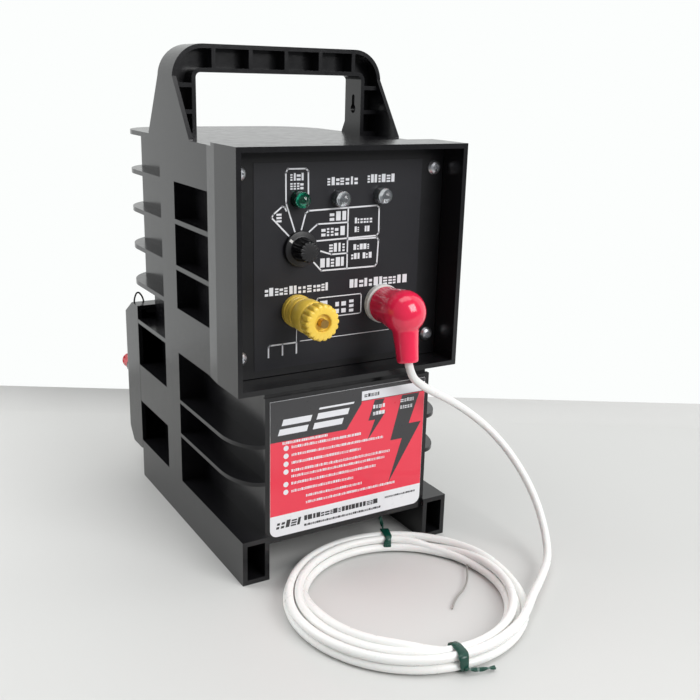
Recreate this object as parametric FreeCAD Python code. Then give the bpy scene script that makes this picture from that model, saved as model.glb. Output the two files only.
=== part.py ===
"""Portable electric-fence energizer in a carrying case with a coiled output lead.

Design frame, in millimetres: X to the right, Y towards the back, Z up.  Y = 0 is the rim of the front
hood and Z = 0 is the floor.  Every solid is moved along Y as it is saved, so that the stored origin is
the bottom centre of the box round the energizer without its lead.
"""
import FreeCAD, Part
import math
import os

# ---- driving dimensions -------------------------------------------------------------------------
# case
WALL = 3.0
CASE_HALF = 73.0            # outer faces of the side plates, straps, rails and fins
BODY_TOP = 254.0
SPLIT_Y = 111.25            # where the front and rear mouldings meet
STRAP_FRONT = 12.25         # width of the side strap in front of the split
STRAP_REAR = 12.75
PLATE_TOP_LOW = 118.4       # underside of the hood and of the upper case
# hood
HOOD_STEP = 2.0             # how far the hood stands out from the sides and the top of the case
HOOD_DEPTH = 36.0
HOOD_RAMP_Y = (29.5, 44.0)  # where the hood's sides blend back into the sides of the case
HOOD_RAMP_STEP = 0.5        # small step left at the end of the blend
# control panel
PANEL_Y = 20.0
PANEL_THICK = 3.0
PANEL_GAP = 0.2             # all round the panel, inside the hood
OVERLAY_MARGIN = 19.0       # from the hood's side to the printed film
OVERLAY_LOW, OVERLAY_HIGH = 126.0, 245.6
OVERLAY_THICK = 0.3
SCREW_MARGIN = 10.0         # from the hood's side to the panel screws
SCREW_LEVELS = (134.8, 240.3)
SCREW_HEAD_R = 4.4
SCREW_SHANK_R = 1.5
# upper case behind the panel
UPPER_RECESS = 13.0         # from the side plates' faces in to the wall behind their windows
UPPER_OVERHANG = 22.0       # of the upper case past the battery bay
UPPER_CORNER_R = 5.0
WINDOW_Y = (44.0, 99.0)
WINDOW_Z = (148.0, 228.0)
FIN_PITCH = 26.0
FIN_COUNT = 5
FIN_REACH = 9.0             # of the fins past the upper case's rear wall
FIN_CORNER_R = 36.0
# lower case with the batteries
LOWER_RECESS = 17.0         # from the side plates' faces in to the wall of the battery bay
LOWER_FLOOR = 25.0
LOWER_FRONT_Y = 6.0
LOWER_REAR_Y = 181.0
FACE_LIP = 1.0              # of the raised label plate past the bay's side walls
FACE_Y = 3.0
FACE_TOP = 114.5
FACE_LOW = 22.0
RIB_LEVELS = (61.5, 85.0)
RIB_THICK = 2.5
RIB_CORNER = (17.0, 30.0)    # across and along the case, of the quarter ellipse at each rib's front
SIDE_BAR_Z = (59.4, 87.3)
# rails
RAIL_WIDTH = 17.4
RAIL_TOP = 28.3
# front label
LABEL_MARGIN = 3.0
LABEL_Z = (25.6, 112.0)
LABEL_THICK = 0.3
LABEL_CORNER_R = 5.0
# handle
HANDLE_TOP = 309.0
HANDLE_CORNER_R = 20.0
LEG_WIDTH = 15.0
GRIP_TOP = 292.5
GRIP_CORNER_R = 3.0
HANDLE_FRONT = (14.0, 14.0)  # depth in front of the split, of the outer rim and of the grip side
HANDLE_REAR = (11.5, 6.5)    # the same behind the split
FOOT_FRONT, FOOT_REAR = 39.25, 31.75    # spread of the handle's feet from the split
FOOT_FLARE_Z = 290.0
GRIP_RIB_COUNT = 5
GRIP_RIB_PITCH = 24.5
GRIP_RIB_SHIFT = 2.7        # the row of ribs stands a little to the right
LEG_RIB_Z = (269.5, 285.0)
RIM = 2.6
KEYHOLE_Y, KEYHOLE_Z = 107.0, 271.5
KEYHOLE_R, KEYHOLE_SLOT_R, KEYHOLE_RISE = 3.0, 1.7, 7.5
# selector
SELECTOR_X, SELECTOR_Z = -27.0, 196.5
SELECTOR_R = 6.8
SKIRT_R = 10.5              # disc at the selector knob's foot that carries its pointer
SKIRT_THICK = 2.4
POINTER_ANGLE = -53.0       # of the pointer from straight up
SELECTOR_HEIGHT = 12.0
SELECTOR_FLUTES = 12
SHAFT_R = 3.0
BUSH_R = 5.0
# indicator lenses: x, z, radius and height of each dome
LENS_LEVELS = {"check_lamp_lens": (-28.3, 225.0), "light_sensor_window": (-2.0, 224.4),
               "output_lamp_lens": (26.5, 225.0)}
LENS_R = 4.7
LENS_HEIGHT = 10.0
LENS_FLANGE_R = 6.0
# earth binding post
EARTH_X, EARTH_Z = -28.9, 160.0
EARTH_STUD_R = 2.5
EARTH_STUD_FRONT = -15.0
COLLAR_R = 9.4
COLLAR_FLARE = 0.3          # wider foot of the collar
COLLAR_HEIGHT = 10.0
EARTH_KNOB_R = 10.7
EARTH_KNOB_FRONT = -13.5
CLAMP_WASHER_THICK = 1.6
CLAMP_WASHER_R = 6.5
KNOB_FLUTES = 24
# output terminal and its plug
OUTPUT_X, OUTPUT_Z = 29.8, 158.8
OUTPUT_STUD_R = 2.0
OUTPUT_STUD_FRONT = 0.5
RING_R = 12.0
RING_HEIGHT = 4.0
BOOT_R = 11.2               # at the panel end
BOOT_BALL_R = 13.4
BOOT_BALL_Y = -6.2
BOOT_TAIL_R = 6.3
BOOT_TAIL_ROOT_R = 8.2
BOOT_TAIL_END = (-12.6, 128.7)   # y and z of the tail's end; it leans away from the panel
BOOT_WALL = 2.4
CONTACT_R = 5.0
# rear cover
COVER_GAP = 0.4
COVER_DEPTH = 36.0
COVER_LOW, COVER_TOP = 21.0, 131.0
COVER_CORNER_R = 8.0
HINGE_R = 2.7               # rounding of the cover's lower front edge, about the hinge axis
HINGE_PIN_R = 1.5
HINGE_LUG_X = (30.0, 36.0)
HINGE_KNUCKLE = 6.0         # length of the cover's knuckle on each side of a lug
HINGE_SIDE_GAP = 0.3
# latch knobs
LATCH_MARGIN = 7.5          # from the cover's side to a latch axis
LATCH_Z = 76.0
LATCH_R = 5.5
LATCH_LENGTH = 18.0
LATCH_SHAFT_R = 2.5
CAM_R = 4.0
CAM_REACH = 11.0
# batteries
CELL_R, CELL_LENGTH = 16.6, 61.5
CELL_GAP = 1.4
CELL_COLUMNS, CELL_ROWS = 2, 4
TRAY_WALL = 2.0
TRAY_DEPTH = 30.0
# circuit
BOARD_Y = 46.0
BOARD_HALF = 48.0
BOARD_Z = (136.0, 238.0)
BOARD_THICK = 1.6
POST_INSET = 6.0
# lead
CORD_D = 5.0
COIL_X, COIL_Y = 3.0, -59.5
COIL_OUTER_R = 72.0
COIL_WIDTH = 12.4
COIL_HEIGHT = 10.2
TIE_THICK = 0.7
TIE_SLACK = 0.1             # between the coil and a tie
TIE_WIDTH = 5.5
TIE_ANGLES = {"tie_rear": 67.5, "tie_front": 261.0}
WIRE_D = 1.2
# fits
RUN_FIT = 0.05              # radial clearance of a shaft that turns or slides in a hole
SLIP_FIT = 0.2              # radial clearance of a fixed piece in its hole
MOVE_GAP = 0.5              # between faces that turn past each other

# Route of the lead from inside the boot's tail to the coil, and of the stripped wire inside the coil.
CORD_POINTS = [(29.8, -11.5, 134.0), (30.6, -13.6, 122.0), (39.5, -13.2, 113.6), (52.0, -11.0, 106.2),
               (67.5, -7.2, 97.4), (84.0, -6.4, 86.2), (99.0, -13.5, 72.4), (107.5, -28.5, 56.0),
               (112.5, -43.0, 36.5), (112.5, -54.5, 18.5), (103.5, -69.5, 7.6), (85.0, -84.0, 6.2),
               (66.0, -98.0, 7.8), (54.2, -107.6, 8.4), (40.0, -117.8, 8.4)]
WIRE_POINTS = [(63.0, -41.5, 4.2), (57.0, -47.5, 3.4), (50.0, -57.5, 2.2), (41.0, -66.0, 1.6),
               (30.0, -71.5, 1.0), (22.0, -79.5, 1.0)]
# Route of the pull loop, from the cover's left side, its front edge and its top.
LOOP_ROUTE = [(2.0, 13.6, -5.0), (2.4, 14.0, 2.5), (5.0, 14.2, 7.6), (8.4, 14.0, 3.5), (10.2, 13.6, -5.0)]

# ---- values that follow from the driving dimensions ----------------------------------------------
HOOD_HALF = CASE_HALF + HOOD_STEP
HOOD_TOP = BODY_TOP + HOOD_STEP
OVERLAY_HALF = HOOD_HALF - OVERLAY_MARGIN
SCREW_X = HOOD_HALF - SCREW_MARGIN
UPPER_HALF = CASE_HALF - UPPER_RECESS
LOWER_HALF = CASE_HALF - LOWER_RECESS
FACE_HALF = LOWER_HALF + FACE_LIP
LABEL_HALF = FACE_HALF - LABEL_MARGIN
RAIL_INNER = CASE_HALF - RAIL_WIDTH
GRIP_HALF = CASE_HALF - LEG_WIDTH
UPPER_REAR_Y = LOWER_REAR_Y + UPPER_OVERHANG
FIN_REAR_Y = UPPER_REAR_Y + FIN_REACH
COVER_FRONT_Y = LOWER_REAR_Y + COVER_GAP
COVER_REAR_Y = LOWER_REAR_Y + COVER_DEPTH
LATCH_X = CASE_HALF - LATCH_MARGIN
CELL_PITCH = 2 * CELL_R + CELL_GAP
LATCH_TIP_Y = COVER_REAR_Y + MOVE_GAP + LATCH_LENGTH
ORIGIN_Y = (EARTH_STUD_FRONT + LATCH_TIP_Y) / 2.0
PANEL_BACK = PANEL_Y + PANEL_THICK
FACE_PLANE = PANEL_Y - OVERLAY_THICK
STRAP_Y0 = SPLIT_Y - STRAP_FRONT
STRAP_Y1 = SPLIT_Y + STRAP_REAR
DECK_TOP = PLATE_TOP_LOW + WALL
LOWER_INNER = LOWER_HALF - WALL
UPPER_INNER = UPPER_HALF - WALL
COIL_BOTTOM = TIE_THICK + TIE_SLACK
HINGE_Y = COVER_FRONT_Y + HINGE_R
HINGE_Z = COVER_LOW + HINGE_R
X_AXIS = FreeCAD.Vector(1, 0, 0)
Y_AXIS = FreeCAD.Vector(0, 1, 0)
Z_AXIS = FreeCAD.Vector(0, 0, 1)


# ---- shape helpers -------------------------------------------------------------------------------
def vec(x, y, z):
    return FreeCAD.Vector(x, y, z)


def slab(xs, ys, zs):
    """Box between two values on each axis."""
    return Part.makeBox(xs[1] - xs[0], ys[1] - ys[0], zs[1] - zs[0], vec(xs[0], ys[0], zs[0]))


def rounded(shape, axis, radius, keep=lambda point: True):
    """Fillet the edges that run along one axis and whose middle point passes the test."""
    edges = [edge for edge in shape.Edges
             if isinstance(edge.Curve, Part.Line) and abs(edge.Curve.Direction.dot(axis)) > 0.999
             and keep(edge.CenterOfMass)]
    return shape.makeFillet(radius, edges)


def prism(points, axis, span):
    """Extrude a closed outline of (a, b) points along one axis: (x, z), (y, z) or (x, y) outlines."""
    place = {"x": lambda a, b: vec(span[0], a, b), "y": lambda a, b: vec(a, span[0], b),
             "z": lambda a, b: vec(a, b, span[0])}[axis]
    corners = [place(a, b) for a, b in points]
    face = Part.Face(Part.makePolygon(corners + corners[:1]))
    run = {"x": X_AXIS, "y": Y_AXIS, "z": Z_AXIS}[axis] * (span[1] - span[0])
    return face.extrude(run)


def rod(x, z, radius, ys):
    """Cylinder along Y between two values of Y."""
    return Part.makeCylinder(radius, ys[1] - ys[0], vec(x, ys[0], z), Y_AXIS)


def turned(profile, x, z):
    """Revolve an outline of (radius, y) points about the line through x, z along Y."""
    corners = [vec(x + radius, y, z) for radius, y in profile]
    face = Part.Face(Part.makePolygon(corners + corners[:1]))
    return face.revolve(vec(x, 0, z), Y_AXIS, 360)


def fused(shapes):
    return shapes[0].fuse(list(shapes[1:])).removeSplitter() if len(shapes) > 1 else shapes[0]


def mirrored(shape):
    return shape.mirror(vec(0, 0, 0), X_AXIS)


def both(shapes):
    """The shapes given and their mirror images on the other side of the case."""
    return list(shapes) + [mirrored(shape) for shape in shapes]


def fluted(shape, x, z, radius, count, groove_r, ys):
    """Cut grooves along Y round a knob."""
    grooves = [rod(x + radius * math.cos(2 * math.pi * i / count),
                   z + radius * math.sin(2 * math.pi * i / count), groove_r, ys) for i in range(count)]
    return shape.cut(grooves)


def tangent_path(name, points):
    """Straight runs joined by tangent arcs through a route, with the arc radii printed."""
    nodes = [vec(*point) for point in points]
    edges = []
    start = nodes[0]
    radii = []
    for before, corner, after in zip(nodes, nodes[1:], nodes[2:]):
        back = (before - corner).normalize()
        ahead = (after - corner).normalize()
        turn = math.pi - back.getAngle(ahead)
        cut = 0.45 * min((before - corner).Length, (after - corner).Length)
        radius = cut / math.tan(turn / 2.0)
        bisector = (back + ahead).normalize()
        centre = corner + bisector * math.hypot(radius, cut)
        enter = corner + back * cut
        leave = corner + ahead * cut
        edges.append(Part.LineSegment(start, enter).toShape())
        edges.append(Part.Arc(enter, centre - bisector * radius, leave).toShape())
        radii.append(round(radius, 1))
        start = leave
    edges.append(Part.LineSegment(start, nodes[-1]).toShape())
    print(name, "arc radii in mm:", radii)
    return Part.Wire(edges)


def tube(name, points, diameter):
    """Round tube along a route; prints how its volume compares with section times length."""
    path = tangent_path(name, points)
    start = vec(*points[0])
    heading = vec(*points[1]) - start
    ring = Part.Wire(Part.makeCircle(diameter / 2.0, start, heading))
    solid = path.makePipeShell([ring], True, True)
    section = math.pi * diameter ** 2 / 4.0
    print(name, "length", round(path.Length, 1), "mm, volume ratio", round(solid.Volume / (section * path.Length), 4))
    return solid


def save(name, shapes):
    """Move the solids to the stored origin and write them as one sub-part."""
    solids = [solid for shape in shapes for solid in shape.Solids]
    shape = solids[0] if len(solids) == 1 else Part.makeCompound(solids)
    shape.translate(vec(0, -ORIGIN_Y, 0))
    shape.exportStep("parts/" + name + ".step")


# ---- case ----------------------------------------------------------------------------------------
def tray_outline(half, rear_y, corner_r, front_y, zs):
    """Plate in plan with two rounded rear corners."""
    plate = slab((-half, half), (front_y, rear_y), zs)
    return rounded(plate, Z_AXIS, corner_r, lambda point: point.y > rear_y - 1)


def handle_half(direction, depths, foot):
    """One half of the carrying handle: a ribbed channel, its outer rims flared into gussets at their feet."""
    reach = SPLIT_Y + direction * foot
    near, grip_near = (SPLIT_Y + direction * depth for depth in depths)
    ys = sorted((SPLIT_Y, reach))
    bow = slab((-CASE_HALF, CASE_HALF), ys, (BODY_TOP - 2 * HANDLE_CORNER_R, HANDLE_TOP))
    bow = rounded(bow, Y_AXIS, HANDLE_CORNER_R, lambda point: point.z > BODY_TOP)
    grip = slab((-GRIP_HALF, GRIP_HALF), ys, (BODY_TOP - 1, GRIP_TOP))
    grip = rounded(grip, Y_AXIS, GRIP_CORNER_R, lambda point: point.z > BODY_TOP)
    room = slab((-CASE_HALF + RIM, CASE_HALF - RIM), ys, (BODY_TOP + WALL, HANDLE_TOP - RIM))
    room = rounded(room, Y_AXIS, HANDLE_CORNER_R - RIM, lambda point: point.z > GRIP_TOP)
    sleeve = slab((-GRIP_HALF - RIM, GRIP_HALF + RIM), ys, (BODY_TOP - 2, GRIP_TOP + RIM))
    sleeve = rounded(sleeve, Y_AXIS, GRIP_CORNER_R + RIM, lambda point: point.z > BODY_TOP)
    channel = room.cut(sleeve)
    web = slab((-CASE_HALF, CASE_HALF), sorted((SPLIT_Y, SPLIT_Y + direction * WALL)), (BODY_TOP, HANDLE_TOP))
    rib_places = [GRIP_RIB_SHIFT + GRIP_RIB_PITCH * (i - (GRIP_RIB_COUNT - 1) / 2) for i in range(GRIP_RIB_COUNT)]
    ribs = [slab((x - RIM / 2, x + RIM / 2), ys, (GRIP_TOP, HANDLE_TOP)) for x in rib_places]
    ribs += both([slab((GRIP_HALF, CASE_HALF), ys, (z - RIM / 2, z + RIM / 2)) for z in LEG_RIB_Z])
    channel = channel.cut([web] + ribs)
    side = [(SPLIT_Y, BODY_TOP - WALL), (reach, BODY_TOP - WALL), (reach, BODY_TOP + 1.0),
            (near, FOOT_FLARE_Z), (near, HANDLE_TOP), (SPLIT_Y, HANDLE_TOP)]
    flared = fused(both([prism(side, "x", (CASE_HALF - RIM, CASE_HALF))])
                   + [slab((-CASE_HALF, CASE_HALF), sorted((SPLIT_Y, near)), (FOOT_FLARE_Z - 5, HANDLE_TOP))])
    straight = slab((-CASE_HALF, CASE_HALF), sorted((SPLIT_Y, grip_near)), (BODY_TOP - WALL, HANDLE_TOP))
    shell = bow.cut([grip, channel])
    return fused([shell.common(straight), shell.cut(room).common(flared)])


def strap_half(ys, split_side):
    """Vertical side strap: outer plate, closing web and the flange on the split."""
    near = (SPLIT_Y - WALL, SPLIT_Y) if split_side < 0 else (SPLIT_Y, SPLIT_Y + WALL)
    far = (ys[0], ys[0] + WALL) if split_side < 0 else (ys[1] - WALL, ys[1])
    pieces = [slab((CASE_HALF - WALL, CASE_HALF), ys, (RAIL_TOP - WALL, BODY_TOP)),
              slab((LOWER_INNER, CASE_HALF), near, (RAIL_TOP - WALL, BODY_TOP)),
              slab((LOWER_INNER, CASE_HALF), far, (RAIL_TOP - WALL, BODY_TOP))]
    return both(pieces)


def rail(ys):
    """Hollow foot rail along one side, open at its ends."""
    outer = slab((RAIL_INNER, CASE_HALF), ys, (0, RAIL_TOP))
    hollow = slab((RAIL_INNER + WALL, CASE_HALF - WALL), (ys[0] - 1, ys[1] + 1), (WALL, RAIL_TOP - WALL))
    return both([outer.cut(hollow)])


def shell_of_box(half, ys, zs, open_low_y, open_high_y):
    """Rectangular wall box, open at either end along Y."""
    inner_y = (ys[0] - 1 if open_low_y else ys[0] + WALL, ys[1] + 1 if open_high_y else ys[1] - WALL)
    outer = slab((-half, half), ys, zs)
    return outer.cut(slab((-half + WALL, half - WALL), inner_y, (zs[0] + WALL, zs[1] - WALL)))


def rib_plate(level, ys):
    """Side rib between the lower case and the face of the side plate, its front corner a quarter ellipse."""
    across, along = RIB_CORNER
    curve = [(CASE_HALF - across * (1 - math.cos(turn)), ys[0] + along * (1 - math.sin(turn)))
             for turn in (math.pi / 2 * i / 12 for i in range(13))]
    outline = [(LOWER_HALF - 1, ys[1]), (CASE_HALF, ys[1])] + curve + [(LOWER_HALF - 1, ys[0])]
    return prism(outline, "z", (level - RIB_THICK / 2, level + RIB_THICK / 2))


def front_shell():
    """Front moulding: hood, windowed side plates, lower case, rails, straps and half the handle.

    The hood's sides taper back to the case over HOOD_RAMP_Y.
    """
    near_y, far_y = HOOD_RAMP_Y
    edge = [(HOOD_HALF, 0), (HOOD_HALF, near_y), (CASE_HALF + HOOD_RAMP_STEP, far_y)]
    hood = prism(edge + [(-x, y) for x, y in reversed(edge)], "z", (PLATE_TOP_LOW, HOOD_TOP))
    behind = slab((-CASE_HALF + WALL, CASE_HALF - WALL), (HOOD_DEPTH, far_y + 1), (PLATE_TOP_LOW - 1, BODY_TOP))
    over = slab((-HOOD_HALF - 1, HOOD_HALF + 1), (HOOD_DEPTH, far_y + 1), (BODY_TOP, HOOD_TOP + 1))
    hood = hood.cut([behind, over])
    mouth = slab((-HOOD_HALF + WALL, HOOD_HALF - WALL), (-1, PANEL_BACK), (DECK_TOP, HOOD_TOP - WALL))
    throat = slab((-UPPER_INNER, UPPER_INNER), (0, HOOD_DEPTH + 1), (DECK_TOP + WALL, BODY_TOP - 2 * WALL))
    hood = hood.cut([mouth, throat])
    upper = shell_of_box(UPPER_HALF, (HOOD_DEPTH - WALL, SPLIT_Y), (PLATE_TOP_LOW, BODY_TOP), True, True)
    plate_y = (HOOD_DEPTH - 1, STRAP_Y0 + WALL)
    plate = slab((CASE_HALF - WALL, CASE_HALF), plate_y, (PLATE_TOP_LOW, BODY_TOP))
    plate = plate.cut(slab((CASE_HALF - WALL - 1, CASE_HALF + 1), WINDOW_Y, WINDOW_Z))
    shelves = [slab((UPPER_INNER, CASE_HALF), (HOOD_DEPTH - 1, STRAP_Y0 + WALL), (z - WALL, z))
               for z in (DECK_TOP, WINDOW_Z[0], WINDOW_Z[0] + FIN_PITCH + 2, WINDOW_Z[1] - FIN_PITCH + WALL,
                         WINDOW_Z[1] + WALL, BODY_TOP)]
    lower = shell_of_box(LOWER_HALF, (LOWER_FRONT_Y, SPLIT_Y), (LOWER_FLOOR, DECK_TOP), False, True)
    face = slab((-FACE_HALF, FACE_HALF), (FACE_Y, LOWER_FRONT_Y), (FACE_LOW, FACE_TOP))
    ribs = [rib_plate(z, (FACE_Y, STRAP_Y0 + WALL)) for z in RIB_LEVELS]
    ties = [slab((LOWER_HALF - 1, RAIL_INNER + WALL), (FACE_Y + WALL, SPLIT_Y), (LOWER_FLOOR, RAIL_TOP))]
    pieces = [hood, upper, lower, face] + both([plate] + shelves + ribs + ties)
    pieces += rail((0, SPLIT_Y)) + strap_half((STRAP_Y0, SPLIT_Y), -1)
    pieces.append(slab((-UPPER_HALF, UPPER_HALF), (SPLIT_Y - FOOT_FRONT, SPLIT_Y), (BODY_TOP - WALL, BODY_TOP)))
    pieces.append(handle_half(-1, HANDLE_FRONT, FOOT_FRONT))
    shell = fused(pieces)
    holes = [rod(x, z, SCREW_SHANK_R, (0, HOOD_DEPTH + 8)) for x, z in screw_places()]
    bosses = [rod(x, z, SCREW_HEAD_R, (PANEL_BACK, HOOD_DEPTH)) for x, z in screw_places()]
    return fused([shell] + bosses).cut([keyhole()] + holes)


def keyhole():
    """Hanging hole through the inner rim of the right leg: round below, narrow above."""
    depth = 3 * RIM
    low = vec(GRIP_HALF - RIM, KEYHOLE_Y, KEYHOLE_Z)
    high = low + vec(0, 0, KEYHOLE_RISE)
    round_part = Part.makeCylinder(KEYHOLE_R, depth, low, X_AXIS)
    tip = Part.makeCylinder(KEYHOLE_SLOT_R, depth, high, X_AXIS)
    neck = slab((low.x, low.x + depth), (KEYHOLE_Y - KEYHOLE_SLOT_R, KEYHOLE_Y + KEYHOLE_SLOT_R),
                (KEYHOLE_Z, high.z))
    return fused([round_part, tip, neck])


def side_channel(zs):
    """Side bar behind the strap: outer plate with two flanges to the lower case."""
    ys = (STRAP_Y1 - WALL, LOWER_REAR_Y)
    return [slab((CASE_HALF - WALL, CASE_HALF), ys, zs),
            slab((LOWER_HALF - 1, CASE_HALF), ys, (zs[0], zs[0] + WALL)),
            slab((LOWER_HALF - 1, CASE_HALF), ys, (zs[1] - WALL, zs[1]))]


def hinge_lug():
    """Lug on the lower case that reaches into the cover round the hinge axis."""
    eye = Part.makeCylinder(HINGE_R, HINGE_LUG_X[1] - HINGE_LUG_X[0], vec(HINGE_LUG_X[0], HINGE_Y, HINGE_Z), X_AXIS)
    arm = slab(HINGE_LUG_X, (LOWER_REAR_Y - WALL, HINGE_Y), (HINGE_Z, HINGE_Z + HINGE_R))
    root = slab(HINGE_LUG_X, (LOWER_REAR_Y - WALL, LOWER_REAR_Y), (HINGE_Z, LOWER_FLOOR + WALL))
    bore = Part.makeCylinder(HINGE_PIN_R, 2 * CASE_HALF, vec(0, HINGE_Y, HINGE_Z), X_AXIS)
    return fused([eye, arm, root]).cut(bore)


def rear_shell():
    """Rear moulding: finned upper case, open battery bay, side bars, rails, straps and half the handle."""
    levels = [BODY_TOP - FIN_PITCH * i for i in range(FIN_COUNT)]
    step = levels[-1] - WALL
    overhang = tray_outline(UPPER_HALF, UPPER_REAR_Y, UPPER_CORNER_R, SPLIT_Y, (step, BODY_TOP))
    upper = overhang.fuse(slab((-UPPER_HALF, UPPER_HALF), (SPLIT_Y, LOWER_REAR_Y), (PLATE_TOP_LOW, BODY_TOP)))
    hollow = fused([slab((-UPPER_INNER, UPPER_INNER), (SPLIT_Y - 1, UPPER_REAR_Y - WALL),
                         (step + WALL, BODY_TOP - WALL)),
                    slab((-UPPER_INNER, UPPER_INNER), (SPLIT_Y - 1, LOWER_REAR_Y - WALL),
                         (DECK_TOP, BODY_TOP - WALL))])
    upper = upper.cut(hollow)
    fins = [tray_outline(CASE_HALF, FIN_REAR_Y, FIN_CORNER_R, STRAP_Y1 - WALL, (z - WALL, z)) for z in levels]
    fins = [fin.cut(hollow) for fin in fins]
    lower = shell_of_box(LOWER_HALF, (SPLIT_Y, LOWER_REAR_Y), (LOWER_FLOOR, DECK_TOP), True, True)
    deck = slab((LOWER_HALF - 1, CASE_HALF), (STRAP_Y1 - WALL, LOWER_REAR_Y), (PLATE_TOP_LOW, DECK_TOP))
    ties = slab((LOWER_HALF - 1, RAIL_INNER + WALL), (SPLIT_Y, LOWER_REAR_Y), (LOWER_FLOOR, RAIL_TOP))
    pieces = [upper, lower] + fins + both([deck, ties, hinge_lug()] + side_channel(SIDE_BAR_Z))
    pieces += rail((SPLIT_Y, LOWER_REAR_Y)) + strap_half((SPLIT_Y, STRAP_Y1), 1)
    pieces.append(handle_half(1, HANDLE_REAR, FOOT_REAR))
    return fused(pieces)


# ---- control panel -------------------------------------------------------------------------------
def screw_places():
    return [(x, z) for x in (-SCREW_X, SCREW_X) for z in SCREW_LEVELS]


def panel_holes(ys):
    """Every hole through the panel, with the pieces' own radii and a slip fit."""
    holes = [rod(x, z, LENS_R + SLIP_FIT, ys) for x, z in LENS_LEVELS.values()]
    holes.append(rod(SELECTOR_X, SELECTOR_Z, BUSH_R + SLIP_FIT, ys))
    holes.append(rod(EARTH_X, EARTH_Z, EARTH_STUD_R + SLIP_FIT, ys))
    holes.append(rod(OUTPUT_X, OUTPUT_Z, OUTPUT_STUD_R + SLIP_FIT, ys))
    return holes


def control_panel():
    plate = slab((-HOOD_HALF + WALL + PANEL_GAP, HOOD_HALF - WALL - PANEL_GAP), (PANEL_Y, PANEL_BACK),
                 (DECK_TOP + PANEL_GAP, HOOD_TOP - WALL - PANEL_GAP))
    screw_holes = [rod(x, z, SCREW_SHANK_R + SLIP_FIT, (0, HOOD_DEPTH)) for x, z in screw_places()]
    return plate.cut(panel_holes((0, HOOD_DEPTH)) + screw_holes)


def panel_overlay():
    sheet = slab((-OVERLAY_HALF, OVERLAY_HALF), (FACE_PLANE, PANEL_Y), (OVERLAY_LOW, OVERLAY_HIGH))
    return sheet.cut(panel_holes((0, HOOD_DEPTH)))


def front_label():
    label = slab((-LABEL_HALF, LABEL_HALF), (FACE_Y - LABEL_THICK, FACE_Y), LABEL_Z)
    return rounded(label, Y_AXIS, LABEL_CORNER_R, lambda point: point.z < FACE_TOP / 2)


def panel_screw(x, z):
    """Pan-head screw with a cross recess."""
    head_y = PANEL_Y - 2.6
    head = turned([(0, head_y), (2.2, head_y), (3.4, head_y + 0.7), (SCREW_HEAD_R, PANEL_Y - 0.6),
                   (SCREW_HEAD_R, PANEL_Y), (0, PANEL_Y)], x, z)
    shank = rod(x, z, SCREW_SHANK_R, (PANEL_Y, HOOD_DEPTH))
    cross = [slab((x - 2.2, x + 2.2), (head_y - 1, head_y + 1.2), (z - 0.45, z + 0.45)),
             slab((x - 0.45, x + 0.45), (head_y - 1, head_y + 1.2), (z - 2.2, z + 2.2))]
    return fused([head, shank]).cut(cross)


def lens(x, z):
    """Domed indicator lens with a flange behind the panel."""
    front = FACE_PLANE - LENS_HEIGHT
    barrel = rod(x, z, LENS_R, (front + LENS_R, PANEL_BACK))
    dome = Part.makeSphere(LENS_R, vec(x, front + LENS_R, z))
    flange = rod(x, z, LENS_FLANGE_R, (PANEL_BACK, PANEL_BACK + 1.5))
    bore = rod(x, z, LENS_R - 1.2, (front + LENS_R, PANEL_BACK + 2))
    return fused([barrel, dome, flange]).cut(bore)


def selector_knob():
    back = FACE_PLANE - MOVE_GAP
    front = back - SELECTOR_HEIGHT
    body = turned([(0, front), (SELECTOR_R - 1.2, front), (SELECTOR_R - 0.4, front + 1.0),
                   (SELECTOR_R, back - SKIRT_THICK), (SKIRT_R - 0.6, back - SKIRT_THICK),
                   (SKIRT_R, back - SKIRT_THICK + 0.8), (SKIRT_R, back), (0, back)], SELECTOR_X, SELECTOR_Z)
    body = fluted(body, SELECTOR_X, SELECTOR_Z, SELECTOR_R + 0.6, SELECTOR_FLUTES, 1.3,
                  (front - 1, back - SKIRT_THICK))
    seat = rod(SELECTOR_X, SELECTOR_Z, SHAFT_R, (front + 2.5, back + 1))
    nut_room = rod(SELECTOR_X, SELECTOR_Z, BUSH_R + 1.2, (back - 3.2, back + 1))
    return body.cut([seat, nut_room, pointer_bar()])


def pointer_bar():
    """White pointer let into the face of the knob's skirt, outside the grip."""
    front = FACE_PLANE - MOVE_GAP - SKIRT_THICK
    bar = slab((SELECTOR_X - 0.8, SELECTOR_X + 0.8), (front, front + 1.0),
               (SELECTOR_Z + SELECTOR_R, SELECTOR_Z + SKIRT_R - 0.8))
    bar.rotate(vec(SELECTOR_X, 0, SELECTOR_Z), Y_AXIS, POINTER_ANGLE)
    return bar


def selector_shaft():
    front = FACE_PLANE - MOVE_GAP - SELECTOR_HEIGHT + 2.5
    return rod(SELECTOR_X, SELECTOR_Z, SHAFT_R, (front, PANEL_BACK + 14))


def selector_bush():
    """Threaded bush of the switch, through the panel, with its front nut."""
    sleeve = rod(SELECTOR_X, SELECTOR_Z, BUSH_R, (FACE_PLANE - 2.2, PANEL_BACK + 4))
    nut = rod(SELECTOR_X, SELECTOR_Z, BUSH_R + 0.9, (FACE_PLANE - 1.6, FACE_PLANE))
    return fused([sleeve, nut]).cut(rod(SELECTOR_X, SELECTOR_Z, SHAFT_R + RUN_FIT, (0, PANEL_BACK + 20)))


def selector_switch():
    wafer = rod(SELECTOR_X, SELECTOR_Z, 12.0, (PANEL_BACK + 4, PANEL_BACK + 16))
    lugs = [slab((SELECTOR_X - 9 + 6 * i, SELECTOR_X - 7 + 6 * i), (PANEL_BACK + 16, PANEL_BACK + 20),
                 (SELECTOR_Z - 2, SELECTOR_Z)) for i in range(4)]
    return fused([wafer] + lugs).cut(rod(SELECTOR_X, SELECTOR_Z, SHAFT_R + RUN_FIT, (0, PANEL_BACK + 15)))


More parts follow.
